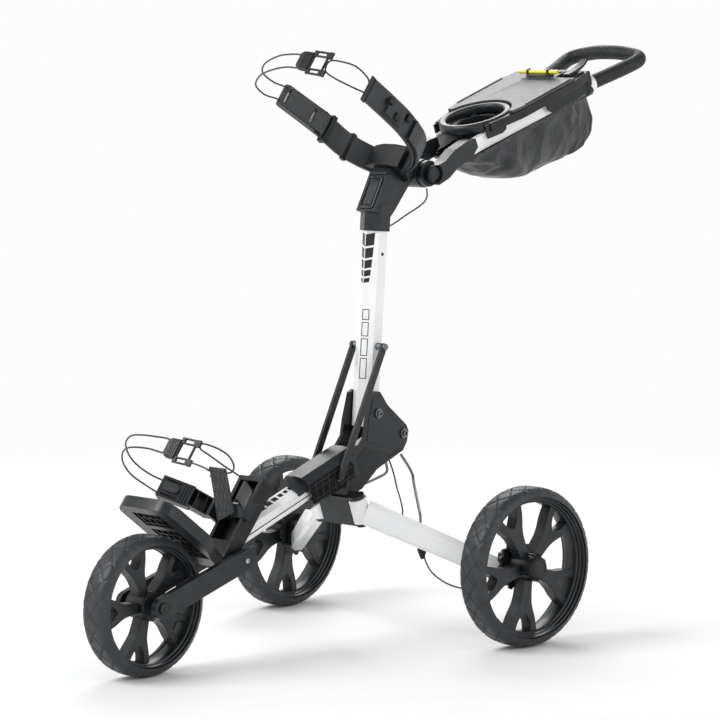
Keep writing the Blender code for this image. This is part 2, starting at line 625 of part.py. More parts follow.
def strut(side):
    """A flat bar from the mast to the shuttle; it turns on its upper end."""
    label = "left" if side > 0 else "right"
    top = MAST @ Vector((side * STRUT_X, 0, STRUT_TOP))
    foot = SHUTTLE @ Vector((side * STRUT_X, 0, 0))
    tilt = math.atan2(foot.z - top.z, foot.y - top.y)
    where = frame(top, tilt)
    group = label + "_strut"
    body(group, where, "mast")
    radius, reach = 0.0070, (foot - top).length
    outline = [(radius * math.cos(a), radius * math.sin(a)) for a in
               [math.pi / 2 + math.pi * k / 8 for k in range(9)]]
    outline += [(reach + radius * math.cos(a), radius * math.sin(a)) for a in
                [-math.pi / 2 + math.pi * k / 8 for k in range(9)]]
    thick = 0.0030
    piece = add(label + "_strut", to_mesh(prism(outline, -thick, thick), "strut"), BLACK, where,
                group)
    cut(piece, cylinder(0.0042, -0.01, 0.01, steps=14), where)


def strut_pin():
    """The pin through the mast that both struts turn on, with its spacers."""
    face, spacer = SECTION_WIDTH / 2 + GAP, STRUT_X - 0.0030 - GAP
    tip = STRUT_X + 0.0030 + GAP
    half = [(0.0038, face), (0.0068, face), (0.0068, spacer), (0.0038, spacer), (0.0038, tip),
            (0.0072, tip), (0.0060, tip + 0.0030)]
    profile = [(0, -tip - 0.0030)] + [(r, -x) for r, x in reversed(half)] + half
    profile.append((0, tip + 0.0030))
    where = MAST @ frame((0, 0, STRUT_TOP))
    add("strut_pin", to_mesh(turned_solid(profile, 10), "strut_pin"), STEEL, where, "mast")


SHUTTLE = TUBE @ frame((0, 0.1330, 0.0))


def strut_shuttle():
    """A block inside the tube with a blade through each side groove and a boss outside."""
    body("shuttle", SHUTTLE, "frame")
    block = prism(hexagon(-WALL - FIT), -0.016, 0.016, "Y")
    piece = add("strut_shuttle", to_mesh(block, "strut_shuttle"), STEEL, SHUTTLE, "shuttle")
    blade = SLOT / 2 - 0.0004
    fuse(piece, box(-0.030, 0.030, -0.010, 0.010, SLOT_V - blade, SLOT_V + blade), SHUTTLE)
    for side in (1, -1):
        low, high = sorted((side * (SECTION_WIDTH / 2 + FIT), side * (STRUT_X - 0.0030 - GAP * 2)))
        fuse(piece, cylinder(0.0060, low, high, centre=(0, SLOT_V), steps=16), SHUTTLE)


# ---- handle -------------------------------------------------------------------------------
RAIL_LOW, RAIL_HIGH = -0.004, 0.023
RAIL_START, RAIL_END = 0.078, 0.455


def handle_bracket(side):
    """A moulded knuckle on the elbow's hub that carries one rail."""
    label = "left" if side > 0 else "right"
    outline = disc(0.0245, steps=22)
    low, high = sorted((side * (0.030 + FIT), side * 0.0415))
    piece = add(label + "_handle_bracket", to_mesh(prism(outline, low, high), "bracket"), BLACK,
                HANDLE, "handle")
    arm = [(0.000, -0.022), (0.030, -0.020), (0.060, -0.010), (0.100, -0.008), (0.124, 0.006),
           (0.122, 0.024), (0.100, 0.0275), (0.060, 0.024), (0.030, 0.014), (0.000, 0.014)]
    low, high = sorted((side * 0.0360, side * 0.0600))
    fuse(piece, prism(arm, low, high), HANDLE)
    cut(piece, rail_shape(side, GAP), HANDLE)
    cut(piece, cylinder(0.0064, -0.08, 0.08), HANDLE)
    cut(piece, cylinder(0.0165, *sorted((side * 0.0416, side * 0.08)), steps=24), HANDLE)


def rail_shape(side, grow=0.0):
    """A flat rail that splays outward towards the grip."""
    def ring(x_in, x_out):
        return [(side * (x_in - grow), RAIL_LOW - grow), (side * (x_out + grow), RAIL_LOW - grow),
                (side * (x_out + grow), RAIL_HIGH + grow), (side * (x_in - grow),
                                                            RAIL_HIGH + grow)]
    return prism(ring(0.0440, 0.0560), RAIL_START - grow, RAIL_END + grow, "Y",
                 ring(0.0600, 0.0720))


def rail(side):
    label = "left" if side > 0 else "right"
    piece = add(label + "_rail", to_mesh(rail_shape(side), "rail"), WHITE, HANDLE, "handle")
    socket = HANDLE @ frame((side * 0.0660, RAIL_END, 0.0095), 0.0, -side * math.radians(11))
    fuse(piece, cylinder(0.0150, -0.002, 0.0130, "Y", steps=20), socket)


CUP_CENTRE = (0.0, 0.198)
LID_UNDER = 0.0405


def console():
    """Tray on the rails, cup holder in front, and the lid that hinges at the grip end."""
    shape = [(-0.070, 0.160), (0.070, 0.160), (0.088, 0.235), (0.090, 0.400), (0.082, 0.448),
             (-0.082, 0.448), (-0.090, 0.400), (-0.088, 0.235)]
    floor = RAIL_HIGH + GAP
    tray = add("console_tray", to_mesh(prism(shape, floor, LID_UNDER - GAP, "Z"), "tray"), DARK,
               HANDLE, "handle")
    well = box(-0.074, 0.074, 0.285, 0.425, floor + 0.003, 0.08)
    cut(tray, well, HANDLE)
    cup_cut = cylinder(0.0718, -0.05, 0.08, "Z", CUP_CENTRE, 40)
    cut(tray, cup_cut, HANDLE)
    lid_shape = [(-0.082, 0.215), (0.082, 0.215), (0.088, 0.240), (0.090, 0.395), (0.080, 0.432),
                 (-0.080, 0.432), (-0.090, 0.395), (-0.088, 0.240)]
    hinge = HANDLE @ frame((0, 0.432, LID_UNDER + 0.003))
    body("lid", hinge, "handle")
    lid = add("console_lid", to_mesh(prism(lid_shape, LID_UNDER, LID_UNDER + 0.0055, "Z"),
                                     "lid"), LID, HANDLE, "lid")
    cut(lid, cylinder(0.0722, -0.05, 0.08, "Z", CUP_CENTRE, 40), HANDLE)
    cut(lid, box(0.040, 0.10, 0.398, 0.44, 0.0, 0.08), HANDLE)
    rest = [(-0.030, 0.396), (-0.022, 0.390), (0.020, 0.390), (0.028, 0.396), (0.028, 0.412),
            (-0.030, 0.412)]
    fuse(lid, prism(rest, LID_UNDER + 0.002, LID_UNDER + 0.0125, "Z"), HANDLE)
    groove = LID_UNDER + 0.0150
    cut(lid, cylinder(0.0046, -0.05, 0.05, "X", (0.402, groove), 14), HANDLE)
    pencil = cylinder(0.0042, -0.048, 0.046, "X", (0.402, groove), 6)
    add("pencil", to_mesh(pencil, "pencil"), YELLOW, HANDLE, "lid")


def cup_holder():
    ring_low, ring_high = RAIL_HIGH + GAP, 0.0435
    profile = [(0.0555, ring_high - 0.004), (0.0590, ring_high), (0.0670, ring_high),
               (0.0710, ring_high - 0.004), (0.0710, ring_low + 0.004), (0.0670, ring_low),
               (0.0420, ring_low), (0.0400, -0.030), (0.0340, -0.030), (0.0380, 0.0275),
               (0.0520, 0.0290)]
    where = HANDLE @ frame((CUP_CENTRE[0], CUP_CENTRE[1], 0)) @ Matrix.Rotation(
        -math.pi / 2, 4, "Y")
    piece = add("cup_holder", to_mesh(turned(profile, 24), "cup_holder"), BLACK, where, "handle")
    fuse(piece, cylinder(0.0382, -0.0320, -0.0285, "Z", CUP_CENTRE, 20), HANDLE)


def grip():
    """The foam-covered bow that joins the two rails."""
    half = [(0.0660, 0.4700, 0.0095), (0.0720, 0.5000, 0.0095), (0.0800, 0.5400, 0.0095),
            (0.0875, 0.5760, 0.0105), (0.0880, 0.5960, 0.0120), (0.0760, 0.6080, 0.0145),
            (0.0500, 0.6120, 0.0180), (0.0250, 0.6130, 0.0205)]
    points = half + [(0, 0.6130, 0.0210)] + [(-x, y, z) for x, y, z in reversed(half)]
    points = [HANDLE @ Vector(p) for p in points]
    round_bar("grip", points, 0.0140, RUBBER, "handle", resolution=3, per_span=2)


BAG_SIDE = [(0.092, -0.0055), (0.133, -0.035), (0.175, -0.065), (0.216, -0.086),
            (0.270, -0.099), (0.325, -0.105), (0.385, -0.108), (0.430, -0.106),
            (0.467, -0.092), (0.487, -0.060), (0.486, -0.030), (0.472, -0.0055)]


def accessory_bag():
    """The open-topped storage bag that hangs under the rails."""
    half, wall = 0.067, 0.0035
    bag = add("accessory_bag", to_mesh(prism(BAG_SIDE, -half, half), "bag"), CLOTH, HANDLE,
              "handle")
    middle = Vector((0.29, -0.045))
    inner = []
    for y, z in BAG_SIDE:
        toward = (middle - Vector((y, z))).normalized() * wall * 1.3
        inner.append((y + toward.x, 0.02 if z > -0.01 else z + toward.y))
    cut(bag, prism(inner, -half + wall, half - wall), HANDLE)
    cut(bag, cylinder(0.0410, -0.034, 0.02, "Z", CUP_CENTRE, 24), HANDLE)
    for side in (1, -1):
        near, far = sorted((side * 0.0330, side * 0.0720))
        cut(bag, box(near, far, 0.05, 0.1262, -0.0112, 0.05), HANDLE)


def brake_lever():
    pivot = HANDLE @ frame((0.0620, 0.4150, 0.0440))
    body("brake_lever", pivot, "handle")
    blade = [(-0.010, -0.0015), (0.012, -0.0015), (0.040, 0.0040), (0.055, 0.0110),
             (0.053, 0.0145), (0.038, 0.0085), (0.012, 0.0060), (-0.010, 0.0060)]
    add("brake_lever", to_mesh(prism(blade, -0.0085, 0.0085), "lever"), DARK, pivot,
        "brake_lever")


def release_button():
    where = HANDLE @ frame((0.0, 0, 0))
    body("release_button", where, "handle")
    profile = [(0, 0.0452), (0.0060, 0.0452), (0.0155, 0.0470), (0.0155, 0.0525),
               (0.0130, 0.0550), (0, 0.0550)]
    add("release_button", to_mesh(turned_solid(profile, 16), "button"), DARK, where,
        "release_button")


def handle_pin():
    profile = [(0, -0.0430), (0.0095, -0.0430), (0.0095, -0.0418), (0.0058, -0.0418),
               (0.0058, 0.0416), (0, 0.0416)]
    add("handle_pivot_bolt", to_mesh(turned_solid(profile, 14), "pin"), STEEL, HANDLE, "mast")


# ---- cords and cables ---------------------------------------------------------------------
CORD = 0.0020                # radius of the elastic cord


def in_frame(where, points):
    return [where @ Vector(p) for p in points]


UPPER_CORD = [(-0.1205, -0.2250, 0.015), (-0.1420, -0.2340, 0.018), (-0.1530, -0.2560, 0.022),
              (-0.1260, -0.2830, 0.023), (-0.0720, -0.3090, 0.020), (-0.0300, -0.3200, 0.017),
              (0.0015, -0.3200, 0.014)]
UPPER_CORD_LOW = [(-0.1240, -0.2255, -0.013), (-0.1450, -0.2360, -0.012),
                  (-0.1470, -0.2620, -0.010), (-0.1100, -0.2920, -0.009),
                  (-0.0620, -0.3090, -0.008), (-0.0250, -0.3160, -0.008),
                  (0.0015, -0.3160, -0.008)]
UPPER_LOOP = [(0.0590, -0.3045, 0.014), (0.0800, -0.2980, 0.018), (0.1050, -0.2840, 0.018),
              (0.1180, -0.2600, 0.012), (0.1145, -0.2440, 0.006)]
UPPER_LOOP_LOW = [(0.0590, -0.3035, -0.006), (0.0760, -0.2940, -0.014),
                  (0.0950, -0.2780, -0.016), (0.1090, -0.2580, -0.014),
                  (0.1135, -0.2440, -0.010)]


def upper_cord():
    for name, points in (("upper_cord", UPPER_CORD + UPPER_CORD_LOW[::-1]),
                         ("upper_loop", UPPER_LOOP[::-1] + UPPER_LOOP_LOW)):
        round_bar(name, in_frame(UPPER, points), CORD, CLOTH, "mast", per_span=3)
    buckle("upper_buckle", UPPER @ frame((0.0255, -0.3125, 0.005), 0.0, math.radians(12)),
           "mast")


def buckle(name, where, group):
    """The cord's hook: a ribbed block with a ladder-shaped ring behind it."""
    piece = add(name, to_mesh(box(-0.0180, -0.0010, -0.0050, 0.0050, -0.0180, 0.0190), name),
                DARK, where, group)
    fuse(piece, box(-0.0030, 0.0300, -0.0025, 0.0025, -0.0245, 0.0255), where)
    cut(piece, box(0.0015, 0.0270, -0.01, 0.01, -0.0125, 0.0135), where)
    for z in (-0.0185, 0.0195):
        cut(piece, box(0.0045, 0.0240, -0.01, 0.01, z - 0.0032, z + 0.0032), where)


CABLE = 0.0015               # radius of the brake cable's jacket


def brake_cables():
    """The lever's cable: a loop at the elbow, a run to the left arm and a tail to its wheel."""
    elbow_loop = [(0.0170, 0.0375, 0.7530), (0.0190, 0.0490, 0.7580), (0.0260, 0.0750, 0.7730),
                  (0.0330, 0.1050, 0.7890), (0.0340, 0.1190, 0.8010), (0.0330, 0.1215, 0.8120),
                  (0.0320, 0.1210, 0.8190)]
    run = [(0.0040, 0.0420, 0.3262), (0.0080, 0.0480, 0.3120), (0.0200, 0.0460, 0.2900),
           (0.0420, 0.0300, 0.2700), (0.0720, 0.0060, 0.2560), (0.0960, -0.0140, 0.2420)]
    tail = [(0.1280, 0.0100, 0.1600), (0.1340, 0.0080, 0.1450), (0.1480, 0.0120, 0.1240),
            (0.1750, 0.0240, 0.1060), (0.2050, 0.0400, 0.0980), (0.2300, 0.0540, 0.0950),
            (0.2420, 0.0620, 0.0960)]
    round_bar("handle_cable", elbow_loop, CABLE, RUBBER, "mast", per_span=3)
    round_bar("brake_cable", run, CABLE, RUBBER, "frame", per_span=3)
    round_bar("wheel_cable", tail, CABLE, RUBBER, "left_arm", per_span=3)


LOWER_CORD = [(-0.1210, -0.0640, -0.004), (-0.1385, -0.0785, -0.003), (-0.1495, -0.1015, -0.001),
              (-0.1450, -0.1320, 0.000), (-0.1265, -0.1665, 0.002), (-0.1055, -0.1890, 0.003),
              (-0.0790, -0.2060, 0.005), (-0.0500, -0.2110, 0.006), (-0.0200, -0.2080, 0.008),
              (0.0110, -0.1990, 0.009)]
LOWER_CORD_LOW = [(-0.1250, -0.0575, -0.026), (-0.1370, -0.0800, -0.025),
                  (-0.1460, -0.1070, -0.024), (-0.1385, -0.1400, -0.022),
                  (-0.1195, -0.1690, -0.021), (-0.0955, -0.1925, -0.020),
                  (-0.0710, -0.2060, -0.019), (-0.0450, -0.2100, -0.018),
                  (-0.0200, -0.2060, -0.016), (0.0110, -0.1960, -0.014)]
# from the wing, round the ring's outer bar, behind the strap's hem and back to the ring
LOWER_LOOP = [(0.0690, -0.0640, 0.0210), (0.0640, -0.0760, 0.0215), (0.0590, -0.1020, 0.0200),
              (0.0600, -0.1300, 0.0170), (0.0640, -0.1580, 0.0130), (0.0705, -0.1800, 0.0085),
              (0.0725, -0.1860, 0.0125), (0.0720, -0.1830, 0.0180), (0.0760, -0.1700, 0.0230),
              (0.0810, -0.1520, 0.0270), (0.0810, -0.1300, 0.0300), (0.0740, -0.1080, 0.0310),
              (0.0620, -0.0850, 0.0290), (0.0480, -0.0730, 0.0240), (0.0220, -0.0700, 0.0220),
              (-0.0040, -0.0730, 0.0215), (0.0020, -0.0840, 0.0180), (0.0200, -0.1080, 0.0090),
              (0.0420, -0.1450, -0.0050), (0.0640, -0.1760, -0.0180), (0.0725, -0.1865, -0.0240)]


def lower_cord():
    for name, points in (("lower_cord", LOWER_CORD + LOWER_CORD_LOW[::-1]),
                         ("lower_loop", LOWER_LOOP)):
        round_bar(name, in_frame(LOWER, points), CORD, CLOTH, "frame", per_span=3)
    buckle("lower_buckle", LOWER @ frame((0.0355, -0.1925, -0.005), 0.0, math.radians(10)),
           "frame")


# ---- build --------------------------------------------------------------------------------
def build():
    clear_scene()
    make_materials()
    body("frame", WORLD)
    body("mast", MAST, "frame")
    body("handle", HANDLE, "mast")
    lower_tube()
    pivot_housing()
    front_bracket()
    bag_base()
    lower_cradle()
    bolt("mast_pivot_bolt", MAST_PIVOT, 0.0318, "frame")
    bolt("housing_bolt", BOLT, 0.0318, "frame")
    for side in (1, -1):
        fork(side)
        rear_arm(side)
        rear_wheel(side)
        link_rod(side)
        strut(side)
        handle_bracket(side)
        rail(side)
    front_wheel()
    mast_tube()
    elbow()
    upper_cradle()
    strut_pin()
    strut_shuttle()
    console()
    cup_holder()
    grip()
    accessory_bag()
    brake_lever()
    release_button()
    handle_pin()
    upper_cord()
    lower_cord()
    brake_cables()


build()
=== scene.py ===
"""Looks of the folding golf push trolley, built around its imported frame."""
import json
import math

import bmesh
import bpy
from mathutils import Matrix, Vector, noise

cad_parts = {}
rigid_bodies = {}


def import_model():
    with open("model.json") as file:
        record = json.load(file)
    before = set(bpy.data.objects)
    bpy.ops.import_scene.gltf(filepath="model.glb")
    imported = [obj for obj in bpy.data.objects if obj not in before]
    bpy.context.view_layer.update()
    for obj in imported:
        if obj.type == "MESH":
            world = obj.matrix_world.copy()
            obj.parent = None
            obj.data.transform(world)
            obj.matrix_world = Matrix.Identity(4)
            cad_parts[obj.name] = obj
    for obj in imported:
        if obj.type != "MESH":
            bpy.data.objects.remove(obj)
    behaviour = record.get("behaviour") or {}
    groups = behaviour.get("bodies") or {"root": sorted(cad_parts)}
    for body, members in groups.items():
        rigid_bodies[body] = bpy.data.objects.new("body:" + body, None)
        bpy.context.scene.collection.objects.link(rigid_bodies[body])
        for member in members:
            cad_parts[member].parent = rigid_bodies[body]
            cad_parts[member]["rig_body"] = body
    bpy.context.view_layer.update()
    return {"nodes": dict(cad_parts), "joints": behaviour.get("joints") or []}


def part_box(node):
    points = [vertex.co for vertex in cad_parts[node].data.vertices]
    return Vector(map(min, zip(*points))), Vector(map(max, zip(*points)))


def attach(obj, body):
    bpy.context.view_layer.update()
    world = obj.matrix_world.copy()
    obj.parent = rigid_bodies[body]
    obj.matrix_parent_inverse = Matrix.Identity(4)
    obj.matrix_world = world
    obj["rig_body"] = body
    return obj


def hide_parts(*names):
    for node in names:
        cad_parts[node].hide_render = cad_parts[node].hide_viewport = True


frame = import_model()
NODES = frame["nodes"]
JOINTS = {joint["name"]: joint for joint in frame["joints"]}

# ---- places, some read from the frame's joints and the rest given ---------------------------
MAST_TILT, TUBE_TILT, BAG_TILT, HANDLE_TILT = (math.radians(d) for d in (-4.4, 20.0, -37.0, 19.0))


def place(origin, tilt=0.0, turn=0.0):
    """A frame at origin, tilted about X and then turned about Z."""
    return (Matrix.Translation(Vector(origin)) @ Matrix.Rotation(turn, 4, "Z")
            @ Matrix.Rotation(tilt, 4, "X"))


def joint_at(name):
    return Vector(JOINTS[name]["pos_m"])


WORLD = Matrix.Identity(4)
MAST = place(joint_at("mast_fold"), MAST_TILT)
HANDLE = place(joint_at("handle_fold"), HANDLE_TILT)
UPPER = place((0, 0.069, 0.862), BAG_TILT)
LOWER = place((0, -0.361, 0.280), BAG_TILT)
BASE = place((0, -0.410, 0.180), BAG_TILT)
TUBE = place((0, -0.241, 0.259), TUBE_TILT)
GAP = 0.0004


# ---- materials ------------------------------------------------------------------------------
class Shader:
    """A Principled material with a few short calls for its nodes."""

    def __init__(self, name):
        self.material = bpy.data.materials.new(name)
        self.material.use_nodes = True
        self.tree = self.material.node_tree
        self.main = self.tree.nodes["Principled BSDF"]
        self.where = self.add("ShaderNodeTexCoord").outputs["Object"]

    def add(self, kind, **values):
        node = self.tree.nodes.new(kind)
        for key, value in values.items():
            setattr(node, key, value)
        return node

    def link(self, out, into):
        self.tree.links.new(out, into)

    def set(self, **values):
        for key, value in values.items():
            self.main.inputs[key.replace("_", " ")].default_value = value

    def noise(self, scale, detail=4.0, rough=0.55, stretch=None):
        node = self.add("ShaderNodeTexNoise")
        node.inputs["Scale"].default_value = scale
        node.inputs["Detail"].default_value = detail
        node.inputs["Roughness"].default_value = rough
        self.link(self.stretched(stretch) if stretch else self.where, node.inputs["Vector"])
        return node.outputs["Fac"]

    def stretched(self, scale, turn=(0, 0, 0)):
        node = self.add("ShaderNodeMapping")
        node.inputs["Scale"].default_value = scale
        node.inputs["Rotation"].default_value = turn
        self.link(self.where, node.inputs["Vector"])
        return node.outputs["Vector"]

    def wave(self, scale, vector, kind="BANDS", direction="X"):
        node = self.add("ShaderNodeTexWave", wave_type=kind, bands_direction=direction)
        node.inputs["Scale"].default_value = scale
        self.link(vector, node.inputs["Vector"])
        return node.outputs["Fac"]

    def mixed(self, low, high, factor, start=0.35, stop=0.65):
        ramp = self.add("ShaderNodeValToRGB")
        ramp.color_ramp.elements[0].position = start
        ramp.color_ramp.elements[1].position = stop
        ramp.color_ramp.elements[0].color = (*low, 1)
        ramp.color_ramp.elements[1].color = (*high, 1)
        self.link(factor, ramp.inputs["Fac"])
        return ramp.outputs["Color"]

    def ranged(self, factor, low, high, start=0.0, stop=1.0):
        node = self.add("ShaderNodeMapRange")
        node.inputs["From Min"].default_value = start
        node.inputs["From Max"].default_value = stop
        node.inputs["To Min"].default_value = low
        node.inputs["To Max"].default_value = high
        self.link(factor, node.inputs["Value"])
        return node.outputs["Result"]

    def math(self, operation, a, b):
        node = self.add("ShaderNodeMath", operation=operation)
        for slot, value in zip(node.inputs, (a, b)):
            if isinstance(value, float):
                slot.default_value = value
            else:
                self.link(value, slot)
        return node.outputs["Value"]

    def bump(self, height, strength, distance):
        node = self.add("ShaderNodeBump")
        node.inputs["Strength"].default_value = strength
        node.inputs["Distance"].default_value = distance
        self.link(height, node.inputs["Height"])
        self.link(node.outputs["Normal"], self.main.inputs["Normal"])


def moulded(name, dark, light, rough, grain=900.0, depth=0.00012, gloss=0.5):
    """Moulded plastic or rubber: cloudy colour, uneven sheen and a fine eroded grain."""
    s = Shader(name)
    cloud = s.noise(38.0, 5.0, 0.6)
    s.link(s.mixed(dark, light, cloud), s.main.inputs["Base Color"])
    s.link(s.ranged(s.noise(90.0), rough - 0.09, rough + 0.09), s.main.inputs["Roughness"])
    s.set(Specular_IOR_Level=gloss)
    s.bump(s.noise(grain, 3.0, 0.6), 0.5, depth)
    return s.material


def painted():
    s = Shader("gloss_white_paint")
    s.link(s.mixed((0.78, 0.79, 0.80), (0.84, 0.845, 0.85), s.noise(14.0, 3.0)),
           s.main.inputs["Base Color"])
    s.link(s.ranged(s.noise(60.0, 3.0), 0.16, 0.30), s.main.inputs["Roughness"])
    s.set(Coat_Weight=0.35, Coat_Roughness=0.12)
    s.bump(s.noise(420.0, 2.0), 0.25, 0.00006)
    return s.material


def tread_rubber():
    s = Shader("tyre_rubber")
    dust = s.noise(55.0, 6.0, 0.65)
    s.link(s.mixed((0.014, 0.017, 0.020), (0.029, 0.033, 0.038), dust), s.main.inputs["Base Color"])
    s.link(s.ranged(s.noise(160.0), 0.38, 0.56), s.main.inputs["Roughness"])
    s.bump(s.noise(1400.0, 3.0), 0.6, 0.00015)
    return s.material


def lid_plastic():
    s = Shader("lid_plastic")
    s.link(s.mixed((0.050, 0.053, 0.054), (0.066, 0.069, 0.070), s.noise(26.0, 4.0)),
           s.main.inputs["Base Color"])
    s.link(s.ranged(s.noise(120.0), 0.36, 0.50), s.main.inputs["Roughness"])
    s.set(Specular_IOR_Level=0.32)
    s.bump(s.noise(1100.0, 2.0), 0.4, 0.0001)
    return s.material


def steel(name, colour, rough):
    s = Shader(name)
    s.set(Metallic=1.0)
    streaks = s.noise(700.0, 4.0, 0.6, (0.05, 1, 1))
    low = tuple(c * 0.75 for c in colour)
    s.link(s.mixed(low, colour, streaks), s.main.inputs["Base Color"])
    s.link(s.ranged(streaks, rough - 0.08, rough + 0.12), s.main.inputs["Roughness"])
    s.bump(streaks, 0.2, 0.00005)
    return s.material


def woven(name, dark, light, threads, rough=0.8, sheen=0.25):
    """Crossed threads; threads is how many lie along a metre."""
    s = Shader(name)
    scale = threads / 20.0
    over = s.wave(scale, s.stretched((1, 1, 1), (0.3, 0.2, 0.785)), direction="X")
    under = s.wave(scale, s.stretched((1, 1, 1), (0.3, 0.2, 0.785)), direction="Y")
    cloth = s.math("MULTIPLY", over, under)
    shade = s.math("ADD", s.math("MULTIPLY", cloth, 0.4), s.math("MULTIPLY", s.noise(70.0), 0.7))
    s.link(s.mixed(dark, light, shade, 0.25, 0.75), s.main.inputs["Base Color"])
    s.set(Roughness=rough, Sheen_Weight=sheen, Sheen_Roughness=0.4)
    s.bump(cloth, 0.5, 0.0003)
    return s.material


def coated_nylon():
    """Thin coated bag cloth: soft creases over a ripstop grid, with a waxy shine; its colour is painted
    shade, darker in the crease hollows and lighter on their ridges.
    """
    s = Shader("coated_nylon")
    grid = s.math("MAXIMUM", s.wave(12.0, s.stretched((1, 1, 1), (0.33, 0, 0)), direction="Y"),
                  s.wave(12.0, s.stretched((1, 1, 1), (0.33, 0, 0)), direction="Z"))
    creases_and_painted_shade = s.noise(34.0, 6.0, 0.62, (0.8, 1.0, 0.8))
    folds = s.add("ShaderNodeTexVoronoi", feature="F1")
    folds.inputs["Scale"].default_value = 24.0
    s.link(s.stretched((1.0, 1.0, 0.6), (0.5, 0, 0)), folds.inputs["Vector"])
    facets = folds.outputs["Distance"]
    # painted shade: the colour follows the creases, darker in their hollows and lighter on their ridges
    s.link(s.mixed((0.004, 0.005, 0.006), (0.030, 0.034, 0.038), creases_and_painted_shade, 0.38, 0.72),
           s.main.inputs["Base Color"])
    s.link(s.ranged(creases_and_painted_shade, 0.26, 0.46), s.main.inputs["Roughness"])
    height = s.math("ADD", s.math("MULTIPLY", creases_and_painted_shade, 0.5), s.math("MULTIPLY", grid, 0.04))
    s.bump(s.math("ADD", height, s.math("MULTIPLY", facets, 1.1)), 0.8, 0.009)
    return s.material


def plain(name, colour, rough, vary=0.85):
    s = Shader(name)
    s.link(s.mixed(tuple(c * vary for c in colour), colour, s.noise(120.0)),
           s.main.inputs["Base Color"])
    s.link(s.ranged(s.noise(300.0), rough - 0.05, rough + 0.08), s.main.inputs["Roughness"])
    return s.material


BLACK = moulded("satin_black", (0.009, 0.011, 0.013), (0.017, 0.020, 0.023), 0.34, gloss=0.40)
DARK = moulded("grained_black", (0.005, 0.006, 0.007), (0.011, 0.013, 0.015), 0.40, 1300.0, 0.0002,
               0.36)
# painted shade: a near-black, dull material put where slots and recesses fall into shade
SHADE_BLACK = moulded("painted_shade_black", (0.002, 0.002, 0.003), (0.004, 0.004, 0.005), 0.60, gloss=0.15)
SOFT = moulded("soft_rubber", (0.010, 0.012, 0.014), (0.019, 0.022, 0.025), 0.46, 1600.0, 0.0002)
FOAM = moulded("grip_foam", (0.008, 0.010, 0.011), (0.018, 0.021, 0.023), 0.55, 620.0, 0.0006, 0.36)
WHITE = painted()
TYRE = tread_rubber()
LID = lid_plastic()
STEEL = steel("dark_steel", (0.20, 0.21, 0.22), 0.34)
BRIGHT = steel("bright_steel", (0.62, 0.63, 0.64), 0.24)
CLOTH = coated_nylon()
WEBBING = woven("webbing", (0.024, 0.026, 0.028), (0.066, 0.070, 0.074), 900)
BRAID = woven("braided_cord", (0.010, 0.011, 0.012), (0.040, 0.043, 0.046), 1500, 0.65)
JACKET = moulded("cable_jacket", (0.012, 0.013, 0.014), (0.026, 0.028, 0.030), 0.38, 400.0, 0.00005)
YELLOW = plain("pencil_lacquer", (0.95, 0.86, 0.05), 0.32)
DECAL = plain("black_decal", (0.006, 0.006, 0.007), 0.35, 0.7)


# ---- mesh tools -----------------------------------------------------------------------------
def settle(piece, material, body, replaces=(), angle=32.0):
    """Give a new piece its material and its body, and hide the CAD nodes that it stands for."""
    piece.data.materials.clear()
    piece.data.materials.append(material)
    if piece.type == "MESH":
        piece.data.shade_smooth()
        piece.data.set_sharp_from_angle(angle=math.radians(angle))
    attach(piece, body)
    if replaces:
        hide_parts(*replaces)
    return piece


def from_bmesh(bm, name, where=WORLD, tidy=True):
    if tidy:
        bmesh.ops.recalc_face_normals(bm, faces=bm.faces)
    bm.transform(where)
    data = bpy.data.meshes.new(name)
    bm.to_mesh(data)
    bm.free()
    piece = bpy.data.objects.new(name, data)
    bpy.context.collection.objects.link(piece)
    return piece


def bevelled(piece, width, segments=2, angle=30.0):
    modifier = piece.modifiers.new("bevel", "BEVEL")
    modifier.width = width
    modifier.segments = segments
    modifier.limit_method = "ANGLE"
    modifier.angle_limit = math.radians(angle)
    modifier.use_clamp_overlap = True
    modifier.harden_normals = True
    return piece


def refined(node, material, width=0.0010, segments=2, name=None):
    """The CAD node's own shape with rounded edges, standing for that node."""
    bm = bmesh.new()
    bm.from_mesh(NODES[node].data)
    bmesh.ops.remove_doubles(bm, verts=bm.verts, dist=0.00002)
    bmesh.ops.dissolve_limit(bm, angle_limit=math.radians(1.0), verts=bm.verts, edges=bm.edges)
    piece = from_bmesh(bm, name or node + "_look")
    bevelled(piece, width, segments)
    return settle(piece, material, NODES[node]["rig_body"], [node])


def prism(outline, low, high, axis="X", where=WORLD, bm=None):
    """An extruded outline; it is added to bm when one is given."""
    put = {"X": lambda a, b, h: (h, a, b), "Y": lambda a, b, h: (a, h, b),
           "Z": lambda a, b, h: (a, b, h)}[axis]
    bm = bm or bmesh.new()
    lower = [bm.verts.new(where @ Vector(put(a, b, low))) for a, b in outline]
    upper = [bm.verts.new(where @ Vector(put(a, b, high))) for a, b in outline]
    faces = [bm.faces.new(lower), bm.faces.new(upper)]
    count = len(lower)
    for i in range(count):
        j = (i + 1) % count
        faces.append(bm.faces.new((lower[i], lower[j], upper[j], upper[i])))
    bmesh.ops.recalc_face_normals(bm, faces=faces)
    return bm


def block(x0, x1, y0, y1, z0, z1, where=WORLD, bm=None):
    return prism([(x0, y0), (x1, y0), (x1, y1), (x0, y1)], z0, z1, "Z", where, bm)


def disc(radius, centre=(0, 0), steps=40):
    return [(centre[0] + radius * math.cos(2 * math.pi * k / steps),
             centre[1] + radius * math.sin(2 * math.pi * k / steps)) for k in range(steps)]


